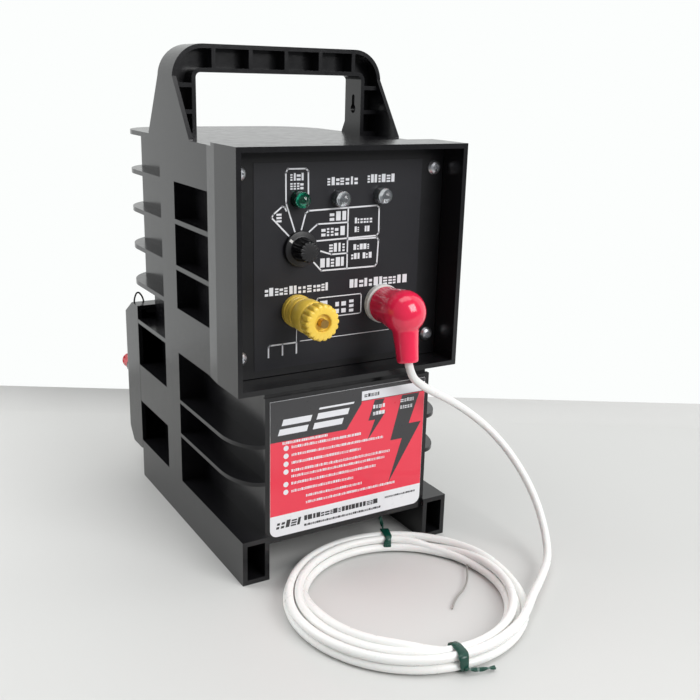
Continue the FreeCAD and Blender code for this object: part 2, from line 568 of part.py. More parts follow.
# ---- earth terminal ------------------------------------------------------------------------------
def earth_stud():
    """Brass stud with a shoulder nut behind the panel."""
    return rod(EARTH_X, EARTH_Z, EARTH_STUD_R, (EARTH_STUD_FRONT, PANEL_BACK + 14))


def hex_nut(x, z, bore_r, width, ys):
    corners = [(x + width / math.sqrt(3) * math.cos(math.radians(60 * i)),
                z + width / math.sqrt(3) * math.sin(math.radians(60 * i))) for i in range(6)]
    return prism(corners, "y", ys).cut(rod(x, z, bore_r, (ys[0] - 1, ys[1] + 1)))


def earth_collar():
    """Fixed yellow base of the binding post."""
    front = FACE_PLANE - COLLAR_HEIGHT
    body = turned([(EARTH_STUD_R, FACE_PLANE), (EARTH_STUD_R, front), (COLLAR_R - 1.2, front),
                   (COLLAR_R, front + 1.2), (COLLAR_R, FACE_PLANE - 3.5), (COLLAR_R + COLLAR_FLARE, FACE_PLANE - 3.0),
                   (COLLAR_R + COLLAR_FLARE, FACE_PLANE)], EARTH_X, EARTH_Z)
    slot = slab((EARTH_X - 1.3, EARTH_X + 1.3), (front - 1, front + 2.4), (EARTH_Z, EARTH_Z + 2 * COLLAR_R))
    return body.cut(slot)


def earth_washer():
    """Brass clamp washer that travels with the knob."""
    back = FACE_PLANE - COLLAR_HEIGHT - 0.2
    disc = rod(EARTH_X, EARTH_Z, CLAMP_WASHER_R, (back - CLAMP_WASHER_THICK, back))
    return disc.cut(rod(EARTH_X, EARTH_Z, EARTH_STUD_R + RUN_FIT, (back - 5, back + 1)))


def earth_knob():
    """Turning yellow knob with a serrated front rim and a recess round the stud's end."""
    back = FACE_PLANE - COLLAR_HEIGHT - CLAMP_WASHER_THICK - 0.3
    front = EARTH_KNOB_FRONT
    inner = EARTH_STUD_R + RUN_FIT
    rim_back = front + 8.0
    body = turned([(inner, back), (inner, front + 2.5), (inner + 2.2, front + 2.5), (inner + 2.2, front),
                   (EARTH_KNOB_R - 1.0, front), (EARTH_KNOB_R, front + 1.0), (EARTH_KNOB_R, rim_back),
                   (EARTH_KNOB_R - 2.2, rim_back + 0.8), (EARTH_KNOB_R - 2.2, rim_back + 2.6),
                   (EARTH_KNOB_R - 0.6, rim_back + 3.2), (EARTH_KNOB_R - 0.6, back - 0.8),
                   (EARTH_KNOB_R - 1.4, back)], EARTH_X, EARTH_Z)
    return fluted(body, EARTH_X, EARTH_Z, EARTH_KNOB_R + 0.5, KNOB_FLUTES, 0.9, (front - 1, rim_back + 1))


# ---- output terminal, plug and lead --------------------------------------------------------------
def output_ring():
    """White insulating ring round the output stud."""
    ring = rod(OUTPUT_X, OUTPUT_Z, RING_R, (FACE_PLANE - RING_HEIGHT, FACE_PLANE))
    ring = ring.makeChamfer(0.8, [edge for edge in ring.Edges if abs(edge.CenterOfMass.y - FACE_PLANE) > 3.9])
    return ring.cut(rod(OUTPUT_X, OUTPUT_Z, OUTPUT_STUD_R, (0, HOOD_DEPTH)))


def output_stud():
    return rod(OUTPUT_X, OUTPUT_Z, OUTPUT_STUD_R, (OUTPUT_STUD_FRONT, PANEL_BACK + 14))


def plug_contact():
    """Brass socket inside the boot that slides over the output stud."""
    front, back = BOOT_BALL_Y + 2.0, FACE_PLANE - RING_HEIGHT - 4.0
    sleeve = rod(OUTPUT_X, OUTPUT_Z, CONTACT_R, (front, back))
    return sleeve.cut(rod(OUTPUT_X, OUTPUT_Z, OUTPUT_STUD_R + RUN_FIT, (OUTPUT_STUD_FRONT - 0.5, back + 1)))


def output_boot():
    """Red rubber elbow boot: flared barrel, ball and a tapered tail that leans down and out to the lead."""
    back = FACE_PLANE - RING_HEIGHT - 0.3
    barrel = turned([(0, BOOT_BALL_Y), (BOOT_BALL_R - 0.2, BOOT_BALL_Y), (BOOT_R + 0.6, back - 9),
                     (BOOT_R, back - 2.2), (BOOT_R + 0.4, back - 1.6), (BOOT_R + 0.4, back), (0, back)],
                    OUTPUT_X, OUTPUT_Z)
    ball = Part.makeSphere(BOOT_BALL_R, vec(OUTPUT_X, BOOT_BALL_Y, OUTPUT_Z))
    end = vec(OUTPUT_X, *BOOT_TAIL_END)
    lean = vec(OUTPUT_X, BOOT_BALL_Y, OUTPUT_Z) - end
    tail = Part.makeCone(BOOT_TAIL_R, BOOT_TAIL_ROOT_R, lean.Length, end, lean)
    mouth = rod(OUTPUT_X, OUTPUT_Z, BOOT_R - BOOT_WALL, (FACE_PLANE - RING_HEIGHT - 8.0, FACE_PLANE))
    seat = rod(OUTPUT_X, OUTPUT_Z, CONTACT_R, (BOOT_BALL_Y - 1.4, FACE_PLANE))
    start = vec(*CORD_POINTS[0])
    run = vec(*CORD_POINTS[1]) - start
    cord_hole = Part.makeCylinder(CORD_D / 2, run.Length, start, run)
    return fused([barrel, ball, tail]).cut([mouth, seat, cord_hole])


def cord_coil():
    """Outer shape of the coiled lead lying on its ties."""
    outer = Part.makeCylinder(COIL_OUTER_R, COIL_HEIGHT, vec(COIL_X, COIL_Y, COIL_BOTTOM))
    inner = Part.makeCylinder(COIL_OUTER_R - COIL_WIDTH, COIL_HEIGHT, vec(COIL_X, COIL_Y, COIL_BOTTOM))
    ring = outer.cut(inner)
    return ring.makeFillet(CORD_D / 2 - 0.1, ring.Edges)


def cord_tie(angle):
    """Band wrapped round the coil's strands, with two short tails."""
    half = TIE_WIDTH / 2
    skin = TIE_THICK + TIE_SLACK
    reach = (COIL_OUTER_R - COIL_WIDTH - skin, COIL_OUTER_R + skin)
    band = slab(reach, (-half, half), (0, COIL_HEIGHT + 2 * skin))
    band = band.cut(slab((reach[0] + TIE_THICK, reach[1] - TIE_THICK), (-half, half),
                         (TIE_THICK, COIL_HEIGHT + skin + TIE_SLACK)))
    tail = slab((reach[1] - 1.0, reach[1] + 9.0), (-0.6, 0.6), (0, 3.0))
    tie = fused([band, tail])
    tie.rotate(vec(0, 0, 0), Z_AXIS, angle)
    tie.translate(vec(COIL_X, COIL_Y, 0))
    return tie


# ---- rear cover and latches ----------------------------------------------------------------------
def cover_block(inset):
    """Outline of the cover, drawn in by a wall thickness."""
    front = COVER_FRONT_Y
    rear = COVER_REAR_Y - inset
    low, top = COVER_LOW + inset, COVER_TOP - inset
    side = [(front - inset, low), (rear - 15, low), (rear - 6, low + 11), (rear - 1.5, low + 27), (rear, low + 44),
            (rear, top - 14), (rear - 23, top),
            (front - inset, top)]
    half = CASE_HALF - inset
    plan = tray_outline(half, rear, COVER_CORNER_R - inset, front - inset, (low, top))
    return prism(side, "x", (-half, half)).common(plan)


def rear_cover():
    """Hollow battery cover with hinge knuckles and latch bosses."""
    shell = cover_block(0.0)
    shell = rounded(shell, X_AXIS, HINGE_R, lambda point: point.z < COVER_LOW + 0.1 and point.y < HINGE_Y)
    shell = shell.cut(cover_block(WALL))
    run = (HINGE_LUG_X[0] - HINGE_KNUCKLE, HINGE_LUG_X[1] + HINGE_KNUCKLE)
    knuckle = Part.makeCylinder(HINGE_R, run[1] - run[0], vec(run[0], HINGE_Y, HINGE_Z), X_AXIS)
    boss = rod(LATCH_X, LATCH_Z, LATCH_R + 1.0, (COVER_REAR_Y - 12, COVER_REAR_Y))
    shell = fused([shell] + both([knuckle, boss]))
    slot_x = (HINGE_LUG_X[0] - HINGE_SIDE_GAP, HINGE_LUG_X[1] + HINGE_SIDE_GAP)
    slot_r = HINGE_R + 0.9
    slot = slab(slot_x, (LOWER_REAR_Y - 1, HINGE_Y + slot_r), (COVER_LOW - 1, HINGE_Z + slot_r))
    pin_bore = Part.makeCylinder(HINGE_PIN_R + RUN_FIT, 2 * run[1], vec(-run[1], HINGE_Y, HINGE_Z), X_AXIS)
    shaft_bore = rod(LATCH_X, LATCH_Z, LATCH_SHAFT_R + RUN_FIT, (LOWER_REAR_Y, COVER_REAR_Y + 5))
    return shell.cut(both([slot, shaft_bore]) + [pin_bore])


def cover_seal():
    """Foam strip inside the cover, against the top of the battery bay's frame."""
    y = COVER_FRONT_Y + 4.0
    return slab((-CASE_HALF + 3 * WALL, CASE_HALF - 3 * WALL), (y, y + 5), (COVER_TOP - WALL - 4, COVER_TOP - WALL))


def hinge_pin():
    run = (HINGE_LUG_X[0] - HINGE_KNUCKLE, HINGE_LUG_X[1] + HINGE_KNUCKLE)
    return Part.makeCylinder(HINGE_PIN_R, run[1] - run[0], vec(run[0], HINGE_Y, HINGE_Z), X_AXIS)


def latch_knob(x):
    """Red quarter-turn knob on its shaft, domed at the end."""
    base = COVER_REAR_Y + MOVE_GAP
    dome_y = LATCH_TIP_Y - LATCH_R
    stem = rod(x, LATCH_Z, LATCH_R, (base, dome_y))
    dome = Part.makeSphere(LATCH_R, vec(x, dome_y, LATCH_Z))
    knob = fused([stem, dome])
    knob = fluted(knob, x, LATCH_Z, LATCH_R + 0.5, 10, 1.0, (base + 2, dome_y))
    return fused([knob, rod(x, LATCH_Z, LATCH_SHAFT_R, (COVER_REAR_Y - 16, base + 1))])


def latch_cam(x):
    """Cam on the inner end of a latch shaft, pointing towards the middle of the cover."""
    inward = -1 if x > 0 else 1
    ys = (COVER_REAR_Y - 16, COVER_REAR_Y - 13)
    disc = rod(x, LATCH_Z, CAM_R, ys)
    arm = slab(sorted((x, x + inward * CAM_REACH)), ys, (LATCH_Z - 2.8, LATCH_Z + 2.8))
    return fused([disc, arm]).cut(rod(x, LATCH_Z, LATCH_SHAFT_R, (0, COVER_REAR_Y)))


# ---- inside --------------------------------------------------------------------------------------
def cell_places():
    """Centres of the upright cells, in plan."""
    middle_y = (LOWER_FRONT_Y + WALL + LOWER_REAR_Y) / 2
    return [((column - (CELL_COLUMNS - 1) / 2) * CELL_PITCH, middle_y + (row - (CELL_ROWS - 1) / 2) * CELL_PITCH)
            for column in range(CELL_COLUMNS) for row in range(CELL_ROWS)]


def battery_tray():
    half_x = CELL_COLUMNS * CELL_PITCH / 2 + TRAY_WALL
    middle_y = (LOWER_FRONT_Y + WALL + LOWER_REAR_Y) / 2
    half_y = CELL_ROWS * CELL_PITCH / 2 + TRAY_WALL
    low = LOWER_FLOOR + WALL
    outer = slab((-half_x, half_x), (middle_y - half_y, middle_y + half_y), (low, low + TRAY_DEPTH))
    inner = slab((-half_x + TRAY_WALL, half_x - TRAY_WALL),
                 (middle_y - half_y + TRAY_WALL, middle_y + half_y - TRAY_WALL), (low + TRAY_WALL, low + TRAY_DEPTH))
    return outer.cut(inner)


def battery_cell(x, y, low):
    can = Part.makeCylinder(CELL_R, CELL_LENGTH - 1.5, vec(x, y, low))
    cap = Part.makeCylinder(4.7, 1.5, vec(x, y, low + CELL_LENGTH - 1.5))
    return fused([can, cap])


def contact_spring(x, y, low):
    """Conical contact under a cell."""
    cone = Part.makeCone(8.0, 5.0, 4.0, vec(x, y, low))
    return cone.cut(Part.makeCone(7.0, 4.0, 4.0, vec(x, y, low)))


def circuit_board():
    board = slab((-BOARD_HALF, BOARD_HALF), (BOARD_Y, BOARD_Y + BOARD_THICK), BOARD_Z)
    return board.cut([rod(x, z, SCREW_SHANK_R, (0, 2 * BOARD_Y)) for x, z in board_posts()])


def board_posts():
    return [(x, z) for x in (-BOARD_HALF + POST_INSET, BOARD_HALF - POST_INSET)
            for z in (BOARD_Z[0] + POST_INSET, BOARD_Z[1] - POST_INSET)]


def write_case():
    save("front_shell", [front_shell()])
    save("rear_shell", [rear_shell()])
    save("front_label", [front_label()])


def write_panel():
    save("control_panel", [control_panel()])
    save("panel_overlay", [panel_overlay()])
    save("panel_screws", [panel_screw(x, z) for x, z in screw_places()])
    for name, (x, z) in LENS_LEVELS.items():
        save(name, [lens(x, z)])
    save("selector_knob", [selector_knob()])
    save("selector_pointer", [pointer_bar()])
    save("selector_shaft", [selector_shaft()])
    save("selector_bush", [selector_bush()])
    save("selector_switch", [selector_switch()])


def write_terminals():
    save("earth_collar", [earth_collar()])
    save("earth_stud", [earth_stud()])
    save("earth_washer", [earth_washer()])
    save("earth_knob", [earth_knob()])
    save("output_ring", [output_ring()])
    save("output_stud", [output_stud()])
    save("terminal_nuts", [hex_nut(EARTH_X, EARTH_Z, EARTH_STUD_R, 8.0, (PANEL_BACK, PANEL_BACK + 4)),
                           hex_nut(OUTPUT_X, OUTPUT_Z, OUTPUT_STUD_R, 7.0, (PANEL_BACK, PANEL_BACK + 3.2))])


def write_lead():
    save("output_boot", [output_boot()])
    save("plug_contact", [plug_contact()])
    save("cord_lead", [tube("cord_lead", CORD_POINTS, CORD_D)])
    save("cord_coil", [cord_coil()])
    save("cord_conductor", [tube("cord_conductor", WIRE_POINTS, WIRE_D)])
    for name, angle in TIE_ANGLES.items():
        save(name, [cord_tie(angle)])


def write_cover():
    save("rear_cover", [rear_cover()])
    save("cover_seal", [cover_seal()])
    save("cover_hinge_pins", both([hinge_pin()]))
    loop = [(x - CASE_HALF, y + COVER_FRONT_Y, z + COVER_TOP) for x, y, z in LOOP_ROUTE]
    save("cover_pull_loop", [tube("cover_pull_loop", loop, WIRE_D)])
    for side, x in (("left", -LATCH_X), ("right", LATCH_X)):
        save("latch_knob_" + side, [latch_knob(x)])
        save("latch_cam_" + side, [latch_cam(x)])


def write_inside():
    tray_floor = LOWER_FLOOR + WALL + TRAY_WALL
    cell_low = tray_floor + 4.0
    cell_top = cell_low + CELL_LENGTH
    save("battery_tray", [battery_tray()])
    save("battery_cells", [battery_cell(x, y, cell_low) for x, y in cell_places()])
    save("contact_springs", [contact_spring(x, y, tray_floor) for x, y in cell_places()])
    straps = [slab((x - 5, x + 5), (y - 5, y + CELL_PITCH + 5), (cell_top, cell_top + 0.8))
              for i, (x, y) in enumerate(cell_places()) if i % 2 == 0]
    save("contact_straps", straps)
    save("circuit_board", [circuit_board()])
    save("board_posts", [rod(x, z, 3.0, (PANEL_BACK, BOARD_Y)) for x, z in board_posts()])
    back = BOARD_Y + BOARD_THICK
    save("transformer_core", [slab((-36, 6), (back, back + 38), (178, 226)).cut(
        slab((-28, -2), (back + 7, back + 39), (190, 214)))])
    save("transformer_winding", [slab((-27.5, -2.5), (back + 7.5, back + 36), (190.5, 213.5))])
    save("storage_capacitor", [rod(28, 196, 14.0, (back, back + 46))])
    save("thyristor", [slab((20, 30), (back, back + 4.6), (150, 166))])
    fins = [slab((14 + 5 * i, 15.5 + 5 * i), (back + 6, back + 20), (146, 172)) for i in range(6)]
    save("heat_sink", [fused([slab((14, 40.5), (back + 4.6, back + 7), (146, 172))] + fins)])


def main():
    os.makedirs("parts", exist_ok=True)
    write_case()
    write_panel()
    write_terminals()
    write_lead()
    write_cover()
    write_inside()


main()
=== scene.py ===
"""Portable electric-fence energizer: its finishes, printed parts, turned knobs, lead and studio.

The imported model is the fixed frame.  Lengths in the classes are in millimetres unless they say metres,
measured from the middle of the case (x), from the rim of the front hood (y, towards the back) and from the
floor (z); one function turns them into metres in the frame.
"""
from __future__ import annotations

import logging
import math
from dataclasses import dataclass
from enum import Enum
from functools import cache
from typing import Callable, Sequence

import bmesh
import bpy
import numpy as np
from bpy.types import Material, Node, NodeSocket, NodeTree, Object
from mathutils import Matrix, Vector


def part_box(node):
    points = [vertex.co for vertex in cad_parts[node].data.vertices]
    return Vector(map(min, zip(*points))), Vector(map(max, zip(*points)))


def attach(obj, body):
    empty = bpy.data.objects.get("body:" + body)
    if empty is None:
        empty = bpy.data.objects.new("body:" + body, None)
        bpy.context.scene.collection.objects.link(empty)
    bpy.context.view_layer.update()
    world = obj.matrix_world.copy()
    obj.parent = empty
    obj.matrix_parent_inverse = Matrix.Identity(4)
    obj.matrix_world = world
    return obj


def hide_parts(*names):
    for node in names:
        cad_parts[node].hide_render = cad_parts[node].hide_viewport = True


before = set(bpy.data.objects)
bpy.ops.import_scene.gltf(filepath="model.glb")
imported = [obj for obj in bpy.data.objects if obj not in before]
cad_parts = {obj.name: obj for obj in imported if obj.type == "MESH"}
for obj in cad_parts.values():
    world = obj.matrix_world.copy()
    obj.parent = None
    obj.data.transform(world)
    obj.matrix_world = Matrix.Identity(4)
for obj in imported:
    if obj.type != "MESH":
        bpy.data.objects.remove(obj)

Array = np.ndarray
Rows = Sequence[Sequence[float]]
Pair = tuple[float, float]
RGBA = tuple[float, float, float, float]
Point = tuple[float, float, float]

MM = 0.001
HOOD_RIM_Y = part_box("front_shell")[0].y
COLOUR_IN, COLOUR_OUT = (6, 7), 2      # sockets of a Mix node that mixes colours
STAGE_SHADE = 0.96                     # second colour of the painted board, as a share of the first
MERGE_DISTANCE = 2e-6                  # metres, within which a moulding's doubled vertices are one
WELD_DISTANCE = 1e-6                   # metres, the same for a mesh made here
WEAR_SIZE = 6.0                        # millimetres, size of the handling marks in every finish
FLAT_ANGLE = 0.6                       # degrees, below which neighbouring triangles are one face
CREASE_ANGLE = 28.0                    # degrees, above which an edge is shaded sharp
ROUNDED_ANGLE = 40.0                   # degrees, above which an edge is rounded
LOG = logging.getLogger("energizer")


# ---- places and meshes ----
def place(points: Rows) -> Array:
    """Turn points in millimetres, with y from the hood's rim, into metres in the frame.

    Args:
        points: rows of x, y, z in millimetres.

    Returns:
        The same rows in metres, moved to the frame's origin.
    """
    return np.asarray(points, float) * MM + np.array([0.0, HOOD_RIM_Y, 0.0])


def add_object(name: str, data: bpy.types.ID) -> Object:
    """New object of a mesh, curve, lamp or camera, linked to the scene."""
    obj = bpy.data.objects.new(name, data)
    bpy.context.scene.collection.objects.link(obj)
    return obj


def new_object(name: str, verts: Array, faces: list[list[int]], smooth_angle: float = 35.0) -> Object:
    """Make an object whose place is in its mesh.

    Args:
        name: the object's name.
        verts: rows of x, y, z in metres in the frame.
        faces: vertex numbers of each face, counter-clockwise from outside.
        smooth_angle: edges sharper than this, in degrees, stay sharp.

    Returns:
        The new object.
    """
    mesh = bpy.data.meshes.new(name)
    mesh.from_pydata(verts.tolist(), [], faces)
    mesh.validate()
    mesh.shade_smooth()
    mesh.set_sharp_from_angle(angle=math.radians(smooth_angle))
    return add_object(name, mesh)


def finish_piece(obj: Object, body: str, finish: Finishes) -> Object:
    """Give a piece its finish and its body."""
    obj.data.materials.clear()
    obj.data.materials.append(material_of(finish))
    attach(obj, body)
    LOG.info("piece %s on %s", obj.name, body)
    return obj


def grid_faces(rows: int, cols: int, wrap_rows: bool) -> Array:
    """Quads of a grid whose columns always close on themselves.

    Args:
        rows: number of rings.
        cols: number of points on each ring.
        wrap_rows: whether the last ring joins the first.

    Returns:
        Rows of four vertex numbers.
    """
    ring = np.arange(rows if wrap_rows else rows - 1)[:, None]
    step = np.arange(cols)[None, :]
    after = (ring + 1) % rows
    ahead = (step + 1) % cols
    quads = np.stack([ring * cols + step, after * cols + step, after * cols + ahead, ring * cols + ahead], axis=-1)
    return quads.reshape(-1, 4)


def lathe(name: str, profile: Rows, centre: Pair, segments: int = 96,
          relief: Callable[[Array, Array, Array], Array] | None = None,
          hollow: bool = False) -> Object:
    """Turn a profile about a line along y.

    Each point is (centre x + r cos t, y, centre z + r sin t), where r is the profile's radius plus the relief.

    Args:
        name: the object's name.
        profile: rows of radius and y in millimetres, from the front pole or bore outwards and back.
        centre: x and z of the axis in millimetres.
        segments: points round the axis.
        relief: radius to add, from arrays of angle, radius and y.
        hollow: whether the profile closes on itself round a bore, instead of on two poles.

    Returns:
        The new object, its faces outwards.
    """
    outline = np.asarray(profile, float)
    angle = np.linspace(0, 2 * math.pi, segments, endpoint=False)
    radius, t = np.meshgrid(outline[:, 0], angle, indexing="ij")
    y = np.repeat(outline[:, 1:2], segments, axis=1)
    if relief is not None:
        radius = radius + relief(t, radius, y)
    points = np.stack([centre[0] + radius * np.cos(t), y, centre[1] + radius * np.sin(t)], axis=-1)
    faces = grid_faces(len(outline), segments, hollow)[:, ::-1].tolist()
    if not hollow:
        last = (len(outline) - 1) * segments
        faces.append([last + i for i in range(segments)][::-1])
        faces.append(list(range(segments)))
    return new_object(name, place(points.reshape(-1, 3)), faces)


def tidy_normals(obj: Object) -> None:
    """Merge doubled vertices and turn every face of a closed mesh outwards."""
    work = bmesh.new()
    work.from_mesh(obj.data)
    bmesh.ops.remove_doubles(work, verts=work.verts, dist=WELD_DISTANCE)
    bmesh.ops.recalc_face_normals(work, faces=work.faces)
    work.to_mesh(obj.data)
    work.free()


def plates(name: str, outlines: Sequence[Array], y_front: float, thick: float) -> Object:
    """Thin printed shapes that face the front, as one mesh of closed plates.

    Args:
        name: the object's name.
        outlines: outlines of x and z in millimetres, each any number of points, clockwise or not.
        y_front: y of the printed face in millimetres.
        thick: how far each plate reaches back from it.

    Returns:
        The new object.
    """
    verts: list[Array] = []
    faces: list[list[int]] = []
    start = 0
    for outline in outlines:
        flat = np.asarray(outline, float)
        following = np.roll(flat, -1, axis=0)
        if np.sum(flat[:, 0] * following[:, 1] - following[:, 0] * flat[:, 1]) < 0:
            flat = flat[::-1]
        count = len(flat)
        front = np.column_stack([flat[:, 0], np.full(count, y_front), flat[:, 1]])
        verts += [front, front + [0, thick, 0]]
        faces.append([start + i for i in range(count)])
        faces.append([start + count + i for i in range(count)][::-1])
        faces += [[start + i, start + count + i, start + count + (i + 1) % count, start + (i + 1) % count]
                  for i in range(count)]
        start += 2 * count
    return new_object(name, place(np.vstack(verts)), faces, 20.0)


def stroke(points: Rows, width: float) -> list[Array]:
    """Outlines of a printed line: one quad for each run, each a little longer than the run."""
    nodes = np.asarray(points, float)
    runs = nodes[1:] - nodes[:-1]
    along = runs / np.linalg.norm(runs, axis=1, keepdims=True) * width / 2
    across = np.column_stack([-along[:, 1], along[:, 0]])
    first, last = nodes[:-1] - along, nodes[1:] + along
    return list(np.stack([first - across, last - across, last + across, first + across], axis=1))


def bar(x0: float, x1: float, z0: float, z1: float, slant: float = 0.0) -> Array:
    """Outline of a rectangle, its top edge moved sideways by a slant."""
    return np.array([[x0, z0], [x1, z0], [x1 + slant, z1], [x0 + slant, z1]])


def word_row(x0: float, x1: float, z0: float, z1: float, seed: int, block: float = 0.9,
             tilt: float = 0.0) -> list[Array]:
    """Plain blocks that stand in for a row of small print.

    Widths and gaps of the blocks come from a seeded generator.  Half of them are full rectangles, the others
    are split into two or three bars.

    Args:
        x0: left end in millimetres.
        x1: right end.
        z0: foot of the row.
        z1: top of the row.
        seed: start of the generator.
        block: mean width of a block as a share of the row's height.
        tilt: sideways lean of each block's top.

    Returns:
        Outlines of the blocks.
    """
    rng = np.random.default_rng(seed)
    height = z1 - z0
    shapes: list[Array] = []
    x = x0
    while x < x1 - 0.3 * height:
        width = min(height * block * rng.uniform(0.55, 1.25), x1 - x)
        count = int(rng.integers(0, 4)) or 1
        for low in np.arange(count) / count:
            high = low + (1.0 if count == 1 else 0.62 / count)
            shapes.append(bar(x + tilt * low, x + width + tilt * low, z0 + low * height, z0 + high * height,
                              tilt * (high - low)))
        x += width + height * rng.uniform(0.12, 0.26)
    return shapes


def softened(node: str, name: str, width: float) -> Object:
    """Copy a moulding from the frame, merge its triangles and round its edges.

    Args:
        node: the frame's node, which the copy stands for.
        name: the copy's name.
        width: radius of the rounding in millimetres.

    Returns:
        The copy, its modifiers live.
    """
    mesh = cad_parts[node].data.copy()
    work = bmesh.new()
    work.from_mesh(mesh)
    bmesh.ops.remove_doubles(work, verts=work.verts, dist=MERGE_DISTANCE)
    bmesh.ops.dissolve_limit(work, angle_limit=math.radians(FLAT_ANGLE), verts=work.verts, edges=work.edges)
    work.to_mesh(mesh)
    work.free()
    mesh.name = name
    mesh.shade_smooth()
    mesh.set_sharp_from_angle(angle=math.radians(CREASE_ANGLE))
    obj = add_object(name, mesh)
    bevel = obj.modifiers.new("edge rounding", "BEVEL")
    bevel.width = width * MM
    bevel.segments = 2
    bevel.limit_method = "ANGLE"
    bevel.angle_limit = math.radians(ROUNDED_ANGLE)
    bevel.use_clamp_overlap = True
    bevel.harden_normals = True
    bevel.miter_outer = "MITER_ARC"
    normals = obj.modifiers.new("flat faces stay flat", "WEIGHTED_NORMAL")
    normals.weight = 100
    normals.keep_sharp = True
    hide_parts(node)
    return obj


# ---- finishes ----
def linear(colour: str) -> RGBA:
    """Linear RGBA of an sRGB hex colour: the low end is a straight line, the rest a power of 2.4."""
    parts = [int(colour[i:i + 2], 16) / 255 for i in (1, 3, 5)]
    values = [c / 12.92 if c <= 0.04045 else ((c + 0.055) / 1.055) ** 2.4 for c in parts]
    return (values[0], values[1], values[2], 1.0)


def add_node(tree: NodeTree, kind: str, values: dict[str, object] | None = None,
             links: dict[str, NodeSocket] | None = None, **settings: object) -> Node:
    """Add a shader node with its settings, socket values and incoming links.

    Args:
        tree: the material's tree.
        kind: the node's type name, without the leading ShaderNode.
        values: socket values by name or number.
        links: sockets that feed this node, by the name or number of its own input.
        **settings: attributes of the node itself.

    Returns:
        The node.
    """
    made = tree.nodes.new("ShaderNode" + kind)
    for key, value in settings.items():
        setattr(made, key, value)
    for key, value in (values or {}).items():
        made.inputs[key].default_value = value
    for key, source in (links or {}).items():
        tree.links.new(source, made.inputs[key])
    return made


def mixed(tree: NodeTree, share: NodeSocket, first: RGBA, second: RGBA) -> Node:
    """Mix two colours by the value of a socket; the colour comes out of output COLOUR_OUT."""
    values = dict(zip(COLOUR_IN, (first, second)))
    return add_node(tree, "Mix", values, {0: share}, data_type="RGBA")


def empty_material(name: str) -> Material:
    """New material with an empty node tree."""
    material = bpy.data.materials.new(name)
    material.use_nodes = True
    material.node_tree.nodes.clear()
    return material


def one_sided(material: Material, shader: Node) -> Material:
    """Finish a material with a shader on its front and nothing on its back."""
    tree = material.node_tree
    clear = add_node(tree, "BsdfTransparent")
    back = add_node(tree, "NewGeometry").outputs["Backfacing"]
    mix = add_node(tree, "MixShader", None, {0: back, 1: shader.outputs[0], 2: clear.outputs[0]})
    add_node(tree, "OutputMaterial", links={"Surface": mix.outputs[0]})
    return material


@dataclass(frozen=True)
class Finish:
    """A surface by what it is made of: base colour, gloss and the small-scale relief that the eye reads.

    Args:
        name: the material's name.
        colour: base colour, sRGB hex.
        shade: second colour that slow mottling moves towards.
        rough: roughness of the clean surface.
        rough_spread: how far handling marks raise or lower it.
        grain: size of the fine relief in millimetres.
        relief: height of the fine relief in millimetres.
        metallic: 1 for a metal.
        ior: index of refraction.
        coat: weight of a clear lacquer or film.
        mottle: size of the slow mottling in millimetres.
    """
    name: str
    colour: str
    shade: str
    rough: float = 0.4
    rough_spread: float = 0.08
    grain: float = 0.5
    relief: float = 0.01
    metallic: float = 0.0
    ior: float = 1.5
    coat: float = 0.0
    mottle: float = 35.0

    def build(self) -> Material:
        """Make the material: two noises mix the colour and the roughness, a finer one is the relief."""
        material = empty_material(self.name)
        tree = material.node_tree
        where = add_node(tree, "TexCoord").outputs["Object"]
        slow = add_node(tree, "TexNoise", {"Scale": 1 / (self.mottle * MM), "Detail": 4.0}, {"Vector": where})
        wear = add_node(tree, "TexNoise", {"Scale": 1 / (WEAR_SIZE * MM), "Detail": 8.0, "Roughness": 0.65},
                        {"Vector": where})
        fine = add_node(tree, "TexNoise", {"Scale": 1 / (self.grain * MM), "Detail": 3.0}, {"Vector": where})
        colour = mixed(tree, slow.outputs[0], linear(self.colour), linear(self.shade))
        rough = add_node(tree, "MapRange", {"From Min": 0.3, "From Max": 0.7,
                                            "To Min": max(self.rough - self.rough_spread, 0.02),
                                            "To Max": min(self.rough + self.rough_spread, 1.0)},
                         {"Value": wear.outputs[0]})
        bump = add_node(tree, "Bump", {"Strength": 0.5, "Distance": self.relief * MM}, {"Height": fine.outputs[0]})
        shader = add_node(tree, "BsdfPrincipled", {"Metallic": self.metallic, "Coat Weight": self.coat,
                                                   "Coat Roughness": 0.06},
                          {"Base Color": colour.outputs[COLOUR_OUT], "Roughness": rough.outputs[0],
                           "Normal": bump.outputs[0]})
        if self.metallic < 0.5:
            shader.inputs["IOR"].default_value = self.ior
        self.extend(tree, shader)
        add_node(tree, "OutputMaterial", links={"Surface": shader.outputs[0]})
        return material

    def extend(self, tree: NodeTree, shader: Node) -> None:
        """Hook for finishes that need more than the common nodes."""


@dataclass(frozen=True)
class ClearMoulding(Finish):
    """Transparent moulded lens: light passes, the surface is polished."""

    def extend(self, tree: NodeTree, shader: Node) -> None:
        """Let light through the body of the lens."""
        shader.inputs["Transmission Weight"].default_value = 0.92


@dataclass(frozen=True)
class SoftVinyl(Finish):
    """Plasticised PVC: a glossy skin over a body that scatters a little light."""

    def extend(self, tree: NodeTree, shader: Node) -> None:
        """Scatter light a millimetre or so below the skin."""
        shader.inputs["Subsurface Weight"].default_value = 0.12
        shader.inputs["Subsurface Radius"].default_value = (0.002, 0.0012, 0.0010)
        shader.inputs["Subsurface Scale"].default_value = 0.6


